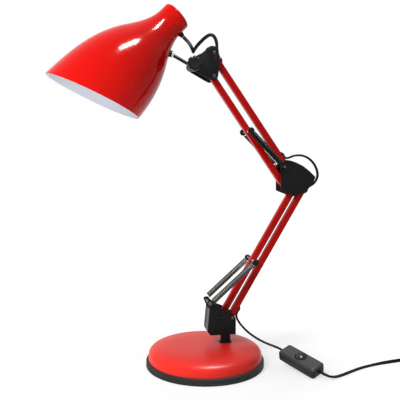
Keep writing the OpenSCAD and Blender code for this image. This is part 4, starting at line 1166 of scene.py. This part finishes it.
class LAMP_OT_switch(bpy.types.Operator):
    """Adds the inline switch: two half shells and an oval rocker"""
    bl_idname = "lamp.switch"
    bl_label = "Switch"

    def execute(self, context):
        place = switch_place()
        self.shells(place)
        self.rocker(place)
        return {"FINISHED"}

    def shells(self, place):
        half, seam, well_r = SWITCH_H / 2, 0.15 * MM, 8.9 * MM
        outline = spoked_box(SWITCH_L, SWITCH_W, 4 * MM)
        edge = half - 3.0 * MM
        lower = [(-half, 1.4), (-half + 0.35 * MM, 0.7), (-half + 1.2 * MM, 0.1),
                 (-half + 2 * MM, 0), (-2 * seam, 0), (-seam, 0.25)]
        bm = bmesh.new()
        loft(bm, [self.box_ring(place, outline, z, inset * MM) for z, inset in lower])
        point_normals_out(bm)
        # The lower shell is all in the darker copy of the switch plastic: painted shade
        make_piece("switch_lower_shell", bm, ["switch_shaded_side"], "base", ["switch_base"], 35)
        upper = [(-seam, 0.25), (seam, 0), (edge - 0.4 * MM, 0), (edge, 0.15),
                 (half - 0.5 * MM, 2.3), (half - 0.1 * MM, 2.8), (half, 3.3), (half, 3.8)]
        well = [(half, 0.8), (half, 0.3), (half - 0.1 * MM, 0.05), (half - 0.5 * MM, -0.15),
                (half - 4 * MM, -0.2)]
        rings = [self.box_ring(place, outline, z, inset * MM) for z, inset in upper]
        rings += [self.oval_ring(place, outline, z, well_r + out * MM) for z, out in well]
        bm = bmesh.new()
        well_floor = loft(bm, rings)
        point_normals_out(bm)
        lift = place.inverted()
        # Faces below the top's edge take the darker copy of the plastic: painted shade on the sides
        for face in bm.faces:
            if (lift @ face.calc_center_median()).z < edge:
                face.material_index = 1
        for face in well_floor:
            face.material_index = 2
        make_piece("switch_upper_shell", bm, ["switch_plastic", "switch_shaded_side", "switch_dark"],
                   "base", ["switch_top"], 35)

    def box_ring(self, place, outline, z, inset):
        """The switch's outline at a height, pulled in on all sides"""
        kx, ky = 1 - 2 * inset / SWITCH_L, 1 - 2 * inset / SWITCH_W
        return [place @ Vector((x * kx, y * ky, z)) for x, y in outline]

    def oval_ring(self, place, outline, z, radius):
        """A circle with one point on the spoke of each of the outline's points"""
        angles = [math.atan2(y, x) for x, y in outline]
        return [place @ Vector((radius * math.cos(a), radius * math.sin(a), z)) for a in angles]

    def rocker(self, place):
        """A rocker with a hollow top and a plain white mark at its raised end"""
        half = SWITCH_H / 2
        pivot = 1 * MM
        turned = place @ Matrix.Translation((0, 0, pivot)) @ Matrix.Rotation(
            ROCKER_REST, 4, "Y")
        radius = 7.6 * MM
        base = -2 * MM
        height = half + 2 * MM - pivot
        bm = bmesh.new()
        made = bmesh.ops.create_grid(bm, x_segments=24, y_segments=24, size=radius)
        for v in made["verts"]:
            v.co = Vector(self.disc(v.co.x / radius, v.co.y / radius)) * radius
            v.co.z = height - 2.1 * MM * (1 - (v.co.x / radius) ** 2)
        edges = [e for e in bm.edges if e.is_boundary]
        made = bmesh.ops.extrude_edge_only(bm, edges=edges)["geom"]
        ends = {v for v in made if isinstance(v, bmesh.types.BMVert)}
        for v in ends:
            v.co.z = base
        loop = [e for e in bm.edges if e.verts[0] in ends and e.verts[1] in ends]
        bmesh.ops.edgeloop_fill(bm, edges=loop)
        point_normals_out(bm)
        bevel_sharp(bm, 0.5 * MM, 40, 3)
        bmesh.ops.transform(bm, matrix=turned, verts=bm.verts)
        make_piece("switch_oval_rocker", bm, ["switch_dark"], "rocker", ["switch_rocker"], 40)
        self.mark(turned, radius, height)

    def disc(self, x, y):
        """Maps a square to a disc"""
        return (x * math.sqrt(max(0.0, 1 - y * y / 2)), y * math.sqrt(max(0.0, 1 - x * x / 2)), 0)

    def mark(self, turned, radius, height):
        """A small white triangle printed on the rocker"""
        points = [(-2.4 * MM, 0), (1.6 * MM, 1.7 * MM), (1.6 * MM, -1.7 * MM)]

        def lifted(x, y):
            return Vector((x, y, height - 2.1 * MM * (1 - (x / radius) ** 2) + 0.06 * MM))

        bm = bmesh.new()
        bm.faces.new([bm.verts.new(lifted(x, y)) for x, y in points])
        bmesh.ops.subdivide_edges(bm, edges=bm.edges, cuts=2, use_grid_fill=True)
        made = bmesh.ops.extrude_face_region(bm, geom=bm.faces[:])["geom"]
        raised = [v for v in made if isinstance(v, bmesh.types.BMVert)]
        bmesh.ops.translate(bm, vec=(0, 0, 0.08 * MM), verts=raised)
        point_normals_out(bm)
        bmesh.ops.transform(bm, matrix=turned, verts=bm.verts)
        make_piece("rocker_mark", bm, ["mark_white"], "rocker")


class LAMP_OT_plug(bpy.types.Operator):
    """Adds the flat plug with its grip and strain relief, and finishes its pins and the tie"""
    bl_idname = "lamp.plug"
    bl_label = "Plug and tie"

    def execute(self, context):
        low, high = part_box("plug_body")
        centre = (low[1] + high[1]) / 2, (low[2] + high[2]) / 2
        width, thick, length = high[1] - low[1], high[2] - low[2], high[0] - low[0]
        relief = 12 * MM
        place = Matrix.Translation((low[0], *centre)) @ Matrix.Rotation(
            math.pi / 2, 4, "Y") @ Matrix.Rotation(math.pi / 2, 4, "Z")
        bm = bmesh.new()
        body = rounded_box(width, thick, 5 * MM, 6)
        layers = [(relief, 0.62, 0.8), (relief + 0.8 * MM, 0.7, 0.9), (relief + 3 * MM, 0.78, 0.96),
                  (relief + 9 * MM, 0.82, 0.9), (relief + 14 * MM, 0.86, 0.9),
                  (relief + 20 * MM, 0.97, 1), (length - 1.2 * MM, 1, 1),
                  (length - 0.3 * MM, 0.98, 0.95), (length, 0.94, 0.88)]
        sweep(bm, body, stack_places(place, layers))
        ribs = circle(4.4 * MM, 24)
        layers = [(0.0, 0.66, 0.66)]
        for i in range(6):
            z, k = (0.4 + i * 1.95) * MM, 0.72 + 0.045 * i
            layers += [(z, k, k), (z + 1.2 * MM, k, k), (z + 1.3 * MM, k - 0.12, k - 0.12),
                       (z + 1.9 * MM, k - 0.12, k - 0.12)]
        layers += [(relief + 0.5 * MM, 0.96, 0.96)]
        sweep(bm, ribs, stack_places(place, layers))
        point_normals_out(bm)
        make_piece("plug_shell", bm, ["black_plastic"], "base", ["plug_body"], 35)
        soften("plug_pins", 0.6 * MM, "nickel", "base", 3)
        soften("coil_tie", 0.2 * MM, "nylon", "base")
        return {"FINISHED"}


# ---- Panel and script ----

OPERATORS = (LAMP_OT_camera, LAMP_OT_switch, LAMP_OT_plug, LAMP_OT_cords, LAMP_OT_spare_cord,
             LAMP_OT_stage, LAMP_OT_shade, LAMP_OT_holder, LAMP_OT_base, LAMP_OT_brackets,
             LAMP_OT_arms, LAMP_OT_springs, LAMP_OT_clamp)


class LAMP_PT_panel(bpy.types.Panel):
    """Lists the lamp's pieces, sizes and colours"""
    bl_idname = "LAMP_PT_panel"
    bl_label = "Architect Lamp"
    bl_space_type = "VIEW_3D"
    bl_region_type = "UI"
    bl_category = "Lamp"

    def draw(self, context):
        layout = self.layout
        for operator in OPERATORS:
            layout.operator(operator.bl_idname)
        for group in (context.scene.lamp_sizes, context.scene.lamp_colours):
            box = layout.box()
            for name in group.__annotations__:
                box.prop(group, name)


CLASSES = (LampColours, LampSizes, *OPERATORS, LAMP_PT_panel)


def register():
    for cls in CLASSES:
        bpy.utils.register_class(cls)
    bpy.types.Scene.lamp_colours = PointerProperty(type=LampColours)
    bpy.types.Scene.lamp_sizes = PointerProperty(type=LampSizes)


def unregister():
    del bpy.types.Scene.lamp_sizes
    del bpy.types.Scene.lamp_colours
    for cls in reversed(CLASSES):
        bpy.utils.unregister_class(cls)


def main():
    register()
    for operator in OPERATORS:
        group, name = operator.bl_idname.split(".")
        getattr(getattr(bpy.ops, group), name)()


if __name__ == "__main__":
    main()
